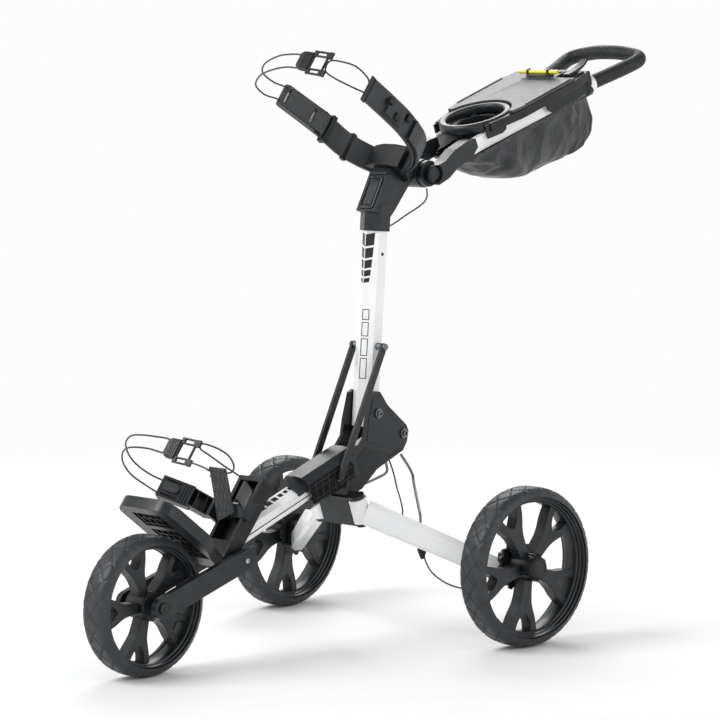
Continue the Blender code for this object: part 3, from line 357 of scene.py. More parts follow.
def turned(profile, steps, where=WORLD, bm=None, closed=True):
    """A (radius, x) profile turned about X: a ring when closed, a solid from axis to axis."""
    bm = bm or bmesh.new()
    rings, faces = [], []
    body = profile if closed else profile[1:-1]
    for k in range(steps):
        angle = 2 * math.pi * k / steps
        rings.append([bm.verts.new(where @ Vector((x, r * math.cos(angle), r * math.sin(angle))))
                      for r, x in body])
    ends = [] if closed else [bm.verts.new(where @ Vector((profile[i][1], 0, 0))) for i in (0, -1)]
    for k in range(steps):
        here, after = rings[k], rings[(k + 1) % steps]
        for i in range(len(body) if closed else len(body) - 1):
            j = (i + 1) % len(body)
            faces.append(bm.faces.new((here[i], here[j], after[j], after[i])))
        if ends:
            faces.append(bm.faces.new((ends[0], here[0], after[0])))
            faces.append(bm.faces.new((here[-1], ends[1], after[-1])))
    bmesh.ops.recalc_face_normals(bm, faces=faces)
    return bm


def smooth(points, per_span=6):
    """A Catmull-Rom curve through given points."""
    points = [Vector(p) for p in points]
    ends = [2 * points[0] - points[1]] + points + [2 * points[-1] - points[-2]]
    path = []
    for i in range(1, len(ends) - 2):
        a, b, c, d = ends[i - 1:i + 3]
        for k in range(per_span):
            t = k / per_span
            path.append(0.5 * ((2 * b) + (c - a) * t + (2 * a - 5 * b + 4 * c - d) * t * t
                               + (3 * b - a - 3 * c + d) * t ** 3))
    path.append(points[-1])
    return path


def ribbon(points, thickness, low, high, per_span=8, where=WORLD, bm=None):
    """A strip of given thickness that follows (x, y) points, standing from low to high."""
    path = smooth([(x, y, 0) for x, y in points], per_span)
    left, right = [], []
    for i, here in enumerate(path):
        along = (path[min(i + 1, len(path) - 1)] - path[max(i - 1, 0)]).normalized()
        side = Vector((-along.y, along.x, 0)) * thickness / 2
        left.append(tuple((here + side).xy))
        right.append(tuple((here - side).xy))
    return prism(left + right[::-1], low, high, "Z", where, bm)


def cable(name, path, radius, material, body, replaces=(), sides=3):
    """A curve of one open spline with a round section."""
    curve = bpy.data.curves.new(name, "CURVE")
    curve.dimensions = "3D"
    curve.bevel_depth = radius
    curve.bevel_resolution = sides
    curve.use_fill_caps = True
    spline = curve.splines.new("POLY")
    spline.points.add(len(path) - 1)
    for point, here in zip(spline.points, path):
        point.co = (*here, 1.0)
    spline.use_smooth = True
    piece = bpy.data.objects.new(name, curve)
    bpy.context.collection.objects.link(piece)
    return settle(piece, material, body, replaces)


def bake_modifiers(piece):
    """Apply every modifier by reading the evaluated mesh back."""
    evaluated = piece.evaluated_get(bpy.context.evaluated_depsgraph_get())
    data = bpy.data.meshes.new_from_object(evaluated)
    piece.modifiers.clear()
    piece.data = data
    return piece


# ---- wheels ---------------------------------------------------------------------------------
TYRE_HALF = 0.031
TYRE_SIDE = 0.017            # how far the sidewall reaches in from the tread
TREAD_STEPS = 504
TREAD_ROWS = 34
GROOVE_DEPTH, GROOVE_WIDTH = 0.0024, 0.0017


def tyre(node, body, where, radius, diamonds):
    """A solid tyre whose tread is cut by two crossing families of slanted grooves."""
    pitch = 2 * math.pi / diamonds
    lean = 1.9 * math.pi / diamonds / TYRE_HALF
    bm = bmesh.new()
    rings = []
    for k in range(TREAD_STEPS):
        angle = 2 * math.pi * k / TREAD_STEPS
        ring = []
        for i in range(TREAD_ROWS + 1):
            x = TYRE_HALF * math.sin(math.pi * (i / TREAD_ROWS - 0.5))
            r = radius - 0.0004 - TYRE_SIDE * abs(x / TYRE_HALF) ** 5.0
            nearest = min(abs((angle + side * lean * x + pitch / 2) % pitch - pitch / 2)
                          for side in (1, -1)) * radius
            inside = max(0.0, 1.0 - (abs(x) / (TYRE_HALF * 0.93)) ** 10)
            r -= GROOVE_DEPTH * inside * math.exp(-(nearest / GROOVE_WIDTH) ** 2)
            ring.append(bm.verts.new((x, r * math.cos(angle), r * math.sin(angle))))
        for x in (TYRE_HALF - 0.0035, -TYRE_HALF + 0.0035):
            r = radius - TYRE_SIDE - 0.0002
            ring.append(bm.verts.new((x, r * math.cos(angle), r * math.sin(angle))))
        rings.append(ring)
    count = len(rings[0])
    for k in range(TREAD_STEPS):
        here, after = rings[k], rings[(k + 1) % TREAD_STEPS]
        for i in range(count):
            j = (i + 1) % count
            bm.faces.new((here[i], here[j], after[j], after[i]))
    return settle(from_bmesh(bm, node + "_tread", where), TYRE, body, [node], 50.0)


def spoke_outline(radius, inner):
    """One forked spoke seen along the axle, its stem on +Y."""
    size = radius / 0.146
    stem, fork, tip = 0.0112 * size, 0.44 * radius, 0.0215 * size
    upper = [(0.018, stem * 0.92), (fork * 0.70, stem * 1.08), (fork * 1.05, stem * 1.42),
             (inner * 0.80, tip + 0.0065 * size), (inner + 0.003, tip + 0.0150 * size)]
    crotch = [(inner + 0.0045, tip - 0.0005 * size), (inner * 0.84, tip - 0.0070 * size),
              (fork + 0.020 * size, 0.0014)]
    half = [(p.x, p.y) for p in smooth([(a, b, 0) for a, b in upper], 4)]
    half += [(p.x, p.y) for p in smooth([(a, b, 0) for a, b in crotch], 4)]
    return half + [(a, -b) for a, b in reversed(half)]


def rim(node, body, where, radius, outer, phase, capped):
    """Stepped felloe, five forked spokes and a ribbed hub."""
    bead, inner = radius - TYRE_SIDE - GAP, radius * 0.805
    side = [(bead, 0.0262), (bead - 0.0016, 0.0274), (bead - 0.0034, 0.0262), (bead - 0.0044, 0.0210),
            (bead - 0.0066, 0.0198), (bead - 0.0078, 0.0160), (inner + 0.0012, 0.0150),
            (inner, 0.0132)]
    bm = turned(side + [(r, -x) for r, x in reversed(side)], 120)
    felloe = from_bmesh(bm, node + "_felloe", where)
    settle(felloe, BLACK, body, [node], 40.0)
    bm = bmesh.new()
    web = 0.0120
    for k in range(5):
        here = where @ Matrix.Rotation(phase + 2 * math.pi * k / 5, 4, "X")
        prism(spoke_outline(radius, inner), -web, web, "X", here, bm)
    spokes = bevelled(from_bmesh(bm, node + "_spokes"), 0.0022, 3, 40.0)
    settle(spokes, BLACK, body, (), 40.0)
    if capped:
        hub = [(0, -0.0235), (0.0230, -0.0235), (0.0245, -0.0220), (0.0245, 0.0205),
               (0.0232, 0.0235), (0.0232, 0.0262), (0.0212, 0.0335), (0.0165, 0.0385),
               (0.0135, 0.0398), (0.0125, 0.0386), (0, 0.0386)]
    else:
        hub = [(0, -0.0235), (0.0225, -0.0235), (0.0245, -0.0210), (0.0245, 0.0210),
               (0.0225, 0.0235), (0, 0.0235)]
    bm = turned([(r, outer * x) for r, x in hub], 48, where, closed=False)
    for k in range(10):
        rib = where @ Matrix.Rotation(phase + 2 * math.pi * (k + 0.5) / 10, 4, "X")
        low, high = sorted((outer * 0.012, outer * (0.0290 if capped else 0.0225)))
        block(low, high, 0.0200, 0.0262, -0.0016, 0.0016, rib, bm)
    settle(bevelled(from_bmesh(bm, node + "_hub"), 0.0006), DARK, body, (), 35.0)


def wheels():
    front = place(joint_at("front_wheel_spin"))
    tyre("front_tyre", "front_wheel", front, front.translation.z, 20)
    rim("front_rim", "front_wheel", front, front.translation.z, 1, math.radians(38), False)
    for label, outer in (("left", 1), ("right", -1)):
        axis = Vector(JOINTS[label + "_wheel_spin"]["axis"])
        where = place(joint_at(label + "_wheel_spin"), 0.0, math.atan2(axis.y, axis.x))
        body = label + "_wheel"
        radius = where.translation.z
        tyre(label + "_tyre", body, where, radius, 24)
        rim(label + "_rim", body, where, radius, outer, math.radians(46), True)
        refined(label + "_brake_gear", DARK, 0.0005)


# ---- frame ----------------------------------------------------------------------------------
def keep(node, material):
    """A CAD node whose shape is right keeps it and gets a better material."""
    data = NODES[node].data
    data.materials.clear()
    data.materials.append(material)


def screw(name, centre, direction, radius, body, material=STEEL, replaces=()):
    """A socket-headed screw whose head stands out of a face."""
    where = Matrix.Translation(centre) @ Vector((1, 0, 0)).rotation_difference(
        Vector(direction)).to_matrix().to_4x4()
    head = [(0, -0.002), (radius, -0.002), (radius, radius * 0.42), (radius * 0.86, radius * 0.58),
            (radius * 0.52, radius * 0.58), (radius * 0.48, radius * 0.2), (0, radius * 0.2)]
    piece = from_bmesh(turned(head, 32, where, closed=False), name)
    return settle(piece, material, body, replaces, 30.0)


def carve(piece, bm):
    """Cut the shapes in bm out of a piece, before its bevel."""
    tool = from_bmesh(bm, "tool")
    modifier = piece.modifiers.new("carve", "BOOLEAN")
    modifier.operation = "DIFFERENCE"
    modifier.object = tool
    piece.modifiers.move(len(piece.modifiers) - 1, 0)
    bpy.context.view_layer.update()
    bake_modifiers(piece)
    bpy.data.objects.remove(tool)
    return piece


def extra(name, bm, material, body, width=0.0006, segments=2):
    """A small added piece with rounded edges."""
    return settle(bevelled(from_bmesh(bm, name), width, segments), material, body)


def decals(name, where, ridge, flank, half, spots, body):
    """Slanted black quadrilaterals on the two facets that meet in a ridge along Z."""
    bm = bmesh.new()
    for side in (1, -1):
        across = Vector((side * half, flank[0] - ridge[0], 0))
        reach = across.length
        across.normalize()
        out = Vector((-across.y, across.x, 0)) * side
        out = out if out.y * ridge[0] > 0 else -out
        for start, width, top, height in spots:
            corners = []
            for u, w in ((start, top), (start + width, top + 0.22 * width),
                         (start + width * 0.94, top + 0.22 * width - height), (start, top - height)):
                corners.append(Vector((0, ridge[0], 0)) + across * min(u, reach - 0.001)
                               + Vector((0, 0, w)))
            low = [bm.verts.new(where @ (c - out * 0.0002)) for c in corners]
            high = [bm.verts.new(where @ (c + out * 0.00022)) for c in corners]
            bm.faces.new(low)
            bm.faces.new(high)
            for i in range(4):
                j = (i + 1) % 4
                bm.faces.new((low[i], low[j], high[j], high[i]))
    bmesh.ops.recalc_face_normals(bm, faces=bm.faces)
    return settle(from_bmesh(bm, name), DECAL, body)


SECTION_HALF, SECTION_RIDGE, SECTION_FLANK = 0.022, 0.0245, 0.011
SADDLE_SIDE = 0.0331
PLATE_SIDE = 0.0318


def housing_details():
    """Ribs on the saddle's flanks, raised panels and socket screws on the side plates."""
    for label, side in (("left", 1), ("right", -1)):
        bm = bmesh.new()
        low, high = sorted((side * (SADDLE_SIDE - 0.001), side * (SADDLE_SIDE + 0.0009)))
        for k in range(6):
            v = 0.066 + 0.017 * k
            lean = [(v, -0.0185), (v + 0.0022, -0.0185), (v + 0.0102, 0.0190), (v + 0.0080, 0.0190)]
            prism(lean, low, high, "X", TUBE, bm)
        for z in (-0.0140, 0.0030, 0.0125):
            prism([(0.060, z), (0.170, z), (0.170, z + 0.0018), (0.060, z + 0.0018)], low, high,
                  "X", TUBE, bm)
        extra(label + "_saddle_ribs", bm, BLACK, "frame", 0.0003)
        # painted shade: a near-black sheet over the saddle's side, darkening it between and under its ribs
        flank = [(0.058, -0.0190), (0.172, -0.0190), (0.176, 0.0030), (0.168, 0.0195),
                 (0.058, 0.0195)]
        low, high = sorted((side * (SADDLE_SIDE - 0.001), side * (SADDLE_SIDE + 0.0003)))
        extra(label + "_saddle_flank_shade", prism(flank, low, high, "X", TUBE), SHADE_BLACK, "frame", 0.0002)
        panel = [(-0.036, 0.402), (-0.024, 0.440), (-0.006, 0.444), (0.013, 0.420),
                 (0.055, 0.386), (0.064, 0.370), (0.061, 0.356), (0.030, 0.340), (-0.040, 0.362)]
        low, high = sorted((side * (PLATE_SIDE - 0.001), side * (PLATE_SIDE + 0.0010)))
        extra(label + "_plate_panel", prism(panel, low, high), BLACK, "frame", 0.0007, 3)
        lower = [(-0.044, 0.352), (0.030, 0.331), (0.050, 0.340), (0.046, 0.333), (-0.010, 0.3135),
                 (-0.050, 0.284), (-0.084, 0.272), (-0.086, 0.320)]
        low, high = sorted((side * (PLATE_SIDE - 0.001), side * (PLATE_SIDE + 0.0006)))
        extra(label + "_lower_panel", prism(lower, low, high), DARK, "frame", 0.0005, 2)
        at = joint_at("mast_fold")
        screw(label + "_pivot_screw", (side * (PLATE_SIDE + 0.0048), at.y, at.z), (side, 0, 0),
              0.0058, "frame", STEEL)
        spot = TUBE @ Vector((0, 0.318, 0))
        screw(label + "_housing_screw", (side * (PLATE_SIDE + 0.0048), spot.y, spot.z),
              (side, 0, 0), 0.0058, "frame", STEEL)


def base_details():
    """The lattice inside the bag rest and the ribs in the front bracket's pocket."""
    bm = bmesh.new()
    for k in range(9):
        y = -0.186 + 0.0185 * k
        block(-0.0375, 0.0375, y, y + 0.0022, -0.0100, 0.0020, BASE, bm)
    for k in range(5):
        x = -0.030 + 0.015 * k
        block(x - 0.0011, x + 0.0011, -0.186, -0.034, -0.0095, 0.0010, BASE, bm)
    extra("base_lattice", bm, DARK, "frame", 0.0004)
    low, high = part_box("front_bracket")
    bm = bmesh.new()
    for x in (-0.0115, 0.0, 0.0115):
        rake = [(-0.3130, 0.2960), (-0.3300, 0.3080), (-0.3700, 0.2560), (-0.3560, 0.2430)]
        prism(rake, x - 0.0011, x + 0.0011, "X", WORLD, bm)
    extra("bracket_ribs", bm, DARK, "frame", 0.0004)
    low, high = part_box("front_axle")
    for label, x0, x1 in (("left", high[0] - 0.001, high[0] + 0.0012),
                          ("right", low[0] - 0.0012, low[0] + 0.001)):
        cap = disc(0.0105, ((low[1] + high[1]) / 2, (low[2] + high[2]) / 2))
        extra(label + "_fork_cap", prism(cap, x0, x1), DARK, "frame", 0.0008)
    for label, side in (("left", 1), ("right", -1)):
        screw(label + "_fork_screw", (side * 0.0520, -0.3700, 0.1830), (side, 0, 0), 0.0045, "frame",
              BRIGHT)


def lower_frame():
    housing_details()
    base_details()
    refined("lower_tube", WHITE, 0.0012, 3)
    refined("pivot_housing", BLACK, 0.0010)
    refined("front_bracket", DARK, 0.0014)
    refined("bag_base", BLACK, 0.0022, 3)
    refined("left_fork_arm", BLACK, 0.0022, 3)
    refined("right_fork_arm", BLACK, 0.0022, 3)
    for node in ("mast_pivot_bolt", "housing_bolt", "front_axle"):
        refined(node, STEEL, 0.0008)
    for label in ("left", "right"):
        refined(label + "_beam", WHITE, 0.0014, 3)
        refined(label + "_axle", STEEL, 0.0006)
        refined(label + "_brake_bracket", DARK, 0.0014)
        refined(label + "_strut", BLACK, 0.0008, 3)
    refined("strut_shuttle", STEEL, 0.0004)
    refined("strut_pin", STEEL, 0.0006)
    spots, top = [], 0.0480
    for width, height in ((0.0055, 0.0060), (0.0060, 0.0072), (0.0066, 0.0086), (0.0074, 0.0102),
                          (0.0084, 0.0120), (0.0094, 0.0140), (0.0106, 0.0165)):
        spots.append((0.0040, width, top, height))
        top -= height + 0.0048
    along = TUBE @ Matrix.Rotation(-math.pi / 2, 4, "X") @ Matrix.Rotation(math.pi, 4, "Z")
    decals("tube_decals", along, (SECTION_RIDGE, 0), (SECTION_FLANK, 0), SECTION_HALF, spots, "frame")
    # cable splitter under the left beam
    spot = place((0.1260, 0.0070, 0.1830))
    funnel = [(0, 0.0), (0.0050, 0.0), (0.0062, -0.010), (0.0095, -0.016), (0.0085, -0.020),
              (0.0030, -0.034), (0, -0.034)]
    upright = spot @ Matrix.Rotation(-math.pi / 2, 4, "Y")
    extra("cable_splitter", turned(funnel, 28, upright, closed=False), DARK, "left_arm", 0.0006)


def lower_cradle():
    refined("lower_arm_right", BLACK, 0.0012, 3)
    refined("lower_arm_left", BLACK, 0.0012, 3)
    refined("lower_strap", WEBBING, 0.0006)
    # the clip's front: an oval button between two slots drawn as painted shade, grip lines and a dark pocket
    # behind them
    clip = LOWER @ place((-0.0862, -0.0515, -0.0145), 0.0, math.radians(29.6))
    bm = bmesh.new()
    oval = []
    for k in range(32):
        c, d = math.cos(math.pi * k / 16), math.sin(math.pi * k / 16)
        oval.append((-0.0085 + 0.0155 * math.copysign(abs(c) ** 0.6, c),
                     0.0005 + 0.0092 * math.copysign(abs(d) ** 0.8, d)))
    prism(oval, -0.0036, 0.0010, "Y", clip, bm)
    extra("clip_button", bm, SOFT, "frame", 0.0018, 3)
    # painted shade: the two slots are thin near-black blocks standing for the shade inside them
    bm = bmesh.new()
    for z in (-0.0150, 0.0135):
        block(-0.0240, 0.0060, -0.0008, 0.0010, z - 0.0016, z + 0.0016, clip, bm)
    extra("clip_slot_shade", bm, SHADE_BLACK, "frame", 0.0002)
    bm = bmesh.new()
    for k in range(3):
        x = 0.0120 + 0.0055 * k
        block(x, x + 0.0022, -0.0016, 0.0010, -0.0185, 0.0185, clip, bm)
    block(-0.0305, 0.0305, -0.0022, 0.0010, -0.0225, -0.0195, clip, bm)
    extra("clip_ridges", bm, BLACK, "frame", 0.0005)
    box_frame = LOWER @ place((-0.0505, -0.0165, -0.0145), 0.0, math.radians(58.0))
    bm = bmesh.new()
    for x in (-0.0120, 0.0060):
        block(x, x + 0.0012, -0.0060, 0.0080, -0.0160, 0.0140, box_frame, bm)
    extra("pocket_ribs", bm, BLACK, "frame", 0.0003)
    # hem of the webbing
    bm = bmesh.new()
    block(0.0030, 0.0415, -0.4146, -0.4096, 0.3320, 0.3345, WORLD, bm)
    extra("strap_hem", bm, WEBBING, "frame", 0.0008)


UPPER_RIGHT = [(-0.036, -0.012), (-0.060, -0.034), (-0.080, -0.066), (-0.086, -0.104),
               (-0.088, -0.135)]


def upper_cradle():
    refined("upper_yoke", DARK, 0.0030, 3)
    refined("upper_arm_right", SOFT, 0.0016, 3)
    refined("upper_arm_left", SOFT, 0.0016, 3)
    pad = refined("upper_pad", BLACK, 0.0026, 3)
    along = Vector((-0.0455, -0.0920, 0)).normalized()
    turn = math.atan2(along.y, along.x)
    bm = bmesh.new()
    for reach in (0.030, 0.092):
        spot = UPPER @ place(Vector((-0.0880, -0.1220, 0)) + along * reach, 0.0, turn)
        block(-0.0019, 0.0019, -0.03, 0.03, -0.0140, 0.0140, spot, bm)
    carve(pad, bm)
    # hinge blocks and ribs along the rubber arms
    for name, points, x, y, size in (("arm_joint_low", UPPER_RIGHT, -0.0868, -0.1120, 0.0085),
                                     ("arm_joint_high", UPPER_RIGHT, -0.0760, -0.0560, 0.0050)):
        bm = block(x - size, x + size, y - 0.0055, y + 0.0055, -0.0285, 0.0285, UPPER)
        extra(name, bm, DARK, "mast", 0.0016, 3)
    shell = [(0.040, -0.006), (0.085, -0.034), (0.1175, -0.076), (0.1300, -0.120)]
    extra("arm_shell", ribbon(shell, 0.0065, -0.0200, 0.0200, 8, UPPER), BLACK, "mast", 0.0014, 3)
    bm = bmesh.new()
    for y, z in ((-0.140, 0.010), (-0.168, -0.008), (-0.196, 0.008)):
        block(0.1290, 0.1360, y - 0.0060, y + 0.0060, z - 0.0070, z + 0.0070, UPPER, bm)
    extra("arm_catches", bm, DARK, "mast", 0.0012)
    tip = [(0.1095, -0.2360), (0.1155, -0.2360), (0.1140, -0.2470), (0.1115, -0.2470)]
    extra("arm_tip", prism(tip, -0.0260, 0.0260, "Z", UPPER), BLACK, "mast", 0.0009, 2)


def mast():
    refined("mast_tube", WHITE, 0.0012, 3)
    refined("elbow", BLACK, 0.0020, 3)
    # flat panel on the neck's front and embossed steps on the collar below it
    lean = math.atan2(0.848 - 0.782, 0.024 + 0.012)
    neck = place((0, -0.0120, 0.782), lean)
    border = prism([(-0.0175, 0.010), (-0.0140, 0.004), (0.0140, 0.004), (0.0175, 0.010),
                    (0.0175, 0.066), (0.0140, 0.071), (-0.0140, 0.071), (-0.0175, 0.066)],
                   -0.0010, 0.0030, "Z", neck)
    border = bevelled(from_bmesh(border, "neck_border"), 0.0010, 3)
    carve(border, block(-0.0135, 0.0135, 0.009, 0.066, 0.0006, 0.02, neck))
    settle(border, BLACK, "mast")
    extra("neck_panel", prism([(-0.0105, 0.014), (-0.0070, 0.011), (0.0070, 0.011), (0.0105, 0.014),
                               (0.0105, 0.060), (-0.0105, 0.060)], 0.0, 0.0018, "Z", neck), BLACK,
          "mast", 0.0006, 2)
    extra("neck_collar", block(-0.0210, 0.0210, 0.0735, 0.0800, -0.0060, 0.0030, neck), BLACK,
          "mast", 0.0018, 3)
    bm = bmesh.new()
    for k in range(3):
        w = 0.343 + 0.0105 * k
        for side in (1, -1):
            low, high = sorted((side * 0.003, side * 0.019))
            step = [(low, -0.0288 + 0.62 * abs(low)), (high, -0.0288 + 0.62 * abs(high)),
                    (high, -0.0262 + 0.62 * abs(high)), (low, -0.0262 + 0.62 * abs(low))]
            prism(step, w, w + 0.0035, "Z", MAST, bm)
    extra("collar_steps", bm, DARK, "mast", 0.0004)
    spots, top = [], 0.3270
    for width, height in ((0.0170, 0.0225), (0.0155, 0.0185), (0.0140, 0.0150), (0.0125, 0.0110),
                          (0.0110, 0.0080)):
        spots.append((0.0012, width, top, height))
        top -= height + 0.0036
    decals("mast_decals", MAST, (-SECTION_RIDGE, 0), (-SECTION_FLANK, 0), SECTION_HALF, spots, "mast")
    # a plain outlined bar where such a trolley carries its lettering
    face = Vector((SECTION_HALF, SECTION_RIDGE - SECTION_FLANK, 0)).normalized()
    turn = math.atan2(face.y, face.x)
    panel = MAST @ place((0, -SECTION_RIDGE, 0), 0.0, turn)
    bm = bmesh.new()
    for w0, w1 in ((0.062, 0.100), (0.104, 0.136), (0.140, 0.166), (0.170, 0.190)):
        for x0, x1, z0, z1 in ((0.0020, 0.0034, w0, w1), (0.0136, 0.0150, w0, w1),
                               (0.0034, 0.0136, w0, w0 + 0.0014), (0.0034, 0.0136, w1 - 0.0014, w1)):
            block(x0, x1, -0.00022, 0.0002, z0, z1, panel, bm)
    settle(from_bmesh(bm, "mast_outline_bar"), DECAL, "mast")
    keyhole = MAST @ place((SECTION_HALF, 0, 0.2920))
    extra("mast_plug", turned([(0, -0.001), (0.0030, -0.001), (0.0030, 0.0012), (0, 0.0014)], 20,
                              keyhole, closed=False), DARK, "mast", 0.0002)
    refined("handle_pivot_bolt", STEEL, 0.0006)


# ---- handle ---------------------------------------------------------------------------------
CUP_AT = (0.0, 0.198)


def cup_holder():
    """A round-edged ring, four spokes and a tapered well."""
    where = HANDLE @ place((*CUP_AT, 0)) @ Matrix.Rotation(-math.pi / 2, 4, "Y")
    ring = []
    for k in range(20):
        angle = 2 * math.pi * k / 20
        c, s = math.cos(angle), math.sin(angle)
        ring.append((0.0633 + 0.0078 * math.copysign(abs(c) ** 0.7, c),
                     0.0335 + 0.0100 * math.copysign(abs(s) ** 0.7, s)))
    piece = from_bmesh(turned(ring, 96, where), "cup_ring")
    settle(piece, BLACK, "handle", ["cup_holder"])
    well = [(0.0402, 0.0288), (0.0418, 0.0270), (0.0400, -0.0290), (0.0372, -0.0316),
            (0.0300, -0.0318), (0.0300, -0.0290), (0.0345, -0.0284), (0.0382, 0.0272)]
    settle(from_bmesh(turned(well, 72, where), "cup_well"), DARK, "handle")
    bm = bmesh.new()
    for k in range(4):
        arm = HANDLE @ place((*CUP_AT, 0), 0.0, math.radians(45 + 90 * k))
        block(0.0385, 0.0580, -0.0050, 0.0050, 0.0240, 0.0288, arm, bm)
    extra("cup_spokes", bm, BLACK, "handle", 0.0010, 2)


def console_details():
    """Skirts that hang from the tray over the rails, lid border, pencil rest and lever base."""
    for label, side in (("left", 1), ("right", -1)):
        bm = bmesh.new()
        for outline, x in (([(0.150, 0.0385), (0.205, 0.0385), (0.205, 0.0130), (0.192, 0.0090),
                             (0.150, 0.0130)], 0.0628),
                           ([(0.318, 0.0385), (0.452, 0.0385), (0.452, -0.0010), (0.330, -0.0010),
                             (0.318, 0.0080)], 0.0742)):
            low, high = sorted((side * x, side * (x + 0.0040)))
            prism(outline, low, high, "X", HANDLE, bm)
        extra(label + "_skirts", bm, DARK, "handle", 0.0010)
    bm = bmesh.new()
    for side in (1, -1):
        low, high = sorted((side * 0.0842, side * 0.0880))
        block(low, high, 0.250, 0.388, 0.0455, 0.0476, HANDLE, bm)
    block(-0.072, 0.036, 0.4235, 0.4275, 0.0455, 0.0476, HANDLE, bm)
    extra("lid_border", bm, DARK, "lid", 0.0008)
    bm = block(-0.060, 0.060, 0.436, 0.4475, 0.0300, 0.0440, HANDLE)
    extra("lid_hinge", bm, DARK, "handle", 0.0022, 3)
    bm = block(0.0500, 0.0765, 0.4020, 0.4440, 0.0395, 0.0430, HANDLE)
    extra("lever_base", bm, BLACK, "handle", 0.0016, 3)
    bm = bmesh.new()
    for x in (-0.026, 0.024):
        block(x - 0.0022, x + 0.0022, 0.3965, 0.4075, 0.0480, 0.0612, HANDLE, bm)
    extra("pencil_clips", bm, DARK, "lid", 0.0008)


BAG_FRONT = [(-0.0055, 0.092), (-0.035, 0.133), (-0.065, 0.175), (-0.086, 0.216), (-0.099, 0.270),
             (-0.105, 0.325), (-0.108, 0.385)]
BAG_REAR = [(-0.0055, 0.476), (-0.030, 0.492), (-0.060, 0.494), (-0.086, 0.484), (-0.102, 0.452),
            (-0.108, 0.400)]
BAG_AROUND, BAG_ROWS = 132, 26


def between(table, z):
    """Linear reading of (z, y) pairs whose z falls."""
    for (z0, y0), (z1, y1) in zip(table, table[1:]):
        if z >= z1:
            return y0 + (y1 - y0) * (z0 - z) / (z0 - z1)
    return table[-1][1]


def accessory_bag():
    """A sewn bag of thin cloth hung from the rails; it is cut a little full, so it creases."""
    bm = bmesh.new()
    rows = []
    for i in range(BAG_ROWS):
        depth = math.sin(0.5 * math.pi * i / (BAG_ROWS - 1)) ** 1.15
        z = -0.0060 - 0.1005 * depth
        front, rear = between(BAG_FRONT, z) + 0.002, between(BAG_REAR, z) - 0.002
        middle, reach = (front + rear) / 2, (rear - front) / 2
        wide = 0.0655 * (1 - 0.30 * depth ** 4)
        row = []
        for k in range(BAG_AROUND):
            angle = 2 * math.pi * k / BAG_AROUND
            c, s = math.cos(angle), math.sin(angle)
            row.append(bm.verts.new(HANDLE @ Vector((wide * math.copysign(abs(s) ** 0.42, s),
                                                     middle + reach * math.copysign(abs(c) ** 0.42, c),
                                                     z))))
        rows.append(row)
    for here, below in zip(rows, rows[1:]):
        for k in range(BAG_AROUND):
            j = (k + 1) % BAG_AROUND
            bm.faces.new((here[k], here[j], below[j], below[k]))
    inner = rows[-1]
    for ring in range(1, 9):
        centre = sum((v.co for v in rows[-1]), Vector()) / BAG_AROUND
        fresh = [bm.verts.new(centre + (v.co - centre) * (1 - ring / 9.0)) for v in rows[-1]]
        for k in range(BAG_AROUND):
            j = (k + 1) % BAG_AROUND
            bm.faces.new((inner[k], inner[j], fresh[j], fresh[k]))
        inner = fresh
    bm.faces.new(inner)
    bmesh.ops.recalc_face_normals(bm, faces=bm.faces)
    bag = from_bmesh(bm, "accessory_bag_cloth", tidy=False)
    start = [v.co.copy() for v in bag.data.vertices]
    pinned = bag.vertex_groups.new(name="pinned")
    pinned.add(list(range(BAG_AROUND * 2)), 1.0, "REPLACE")
    crease_bag(bag)
    for vertex, before in zip(bag.data.vertices, start):
        moved = vertex.co - before
        if moved.length > BAG_CAP:
            vertex.co = before + moved.normalized() * BAG_CAP
    thick = bag.modifiers.new("thickness", "SOLIDIFY")
    thick.thickness = 0.0012
    thick.offset = -1.0
    finer = bag.modifiers.new("finer", "SUBSURF")
    finer.levels = finer.render_levels = 1
    bake_modifiers(bag)
    settle(bag, CLOTH, "handle", ["accessory_bag"], 60.0)
    bm = bmesh.new()
    for side in (1, -1):
        low, high = sorted((side * 0.0645, side * 0.0682))
        block(low, high, 0.130, 0.466, -0.0118, -0.0048, HANDLE, bm)
    extra("bag_hems", bm, WEBBING, "handle", 0.0008)


BAG_CAP = 0.0085             # how far a point of the cloth may move


def crease_bag(bag):
    """Let the cloth grow slightly between its pinned rim and its own stiffness."""
    cloth = bag.modifiers.new("cloth", "CLOTH")
    settings = cloth.settings
    settings.quality = 6
    settings.mass = 0.12
    settings.tension_stiffness = settings.compression_stiffness = 14.0
    settings.shear_stiffness = 8.0
    settings.bending_stiffness = 0.35
    settings.vertex_group_mass = "pinned"
    settings.shrink_min = -0.060
    settings.use_pressure = True
    settings.uniform_pressure_force = 0.6
    settings.effector_weights.gravity = 0.35
    for step in range(1, 26):
        bpy.context.scene.frame_set(step)
    bake_modifiers(bag)
    bpy.context.scene.frame_set(1)


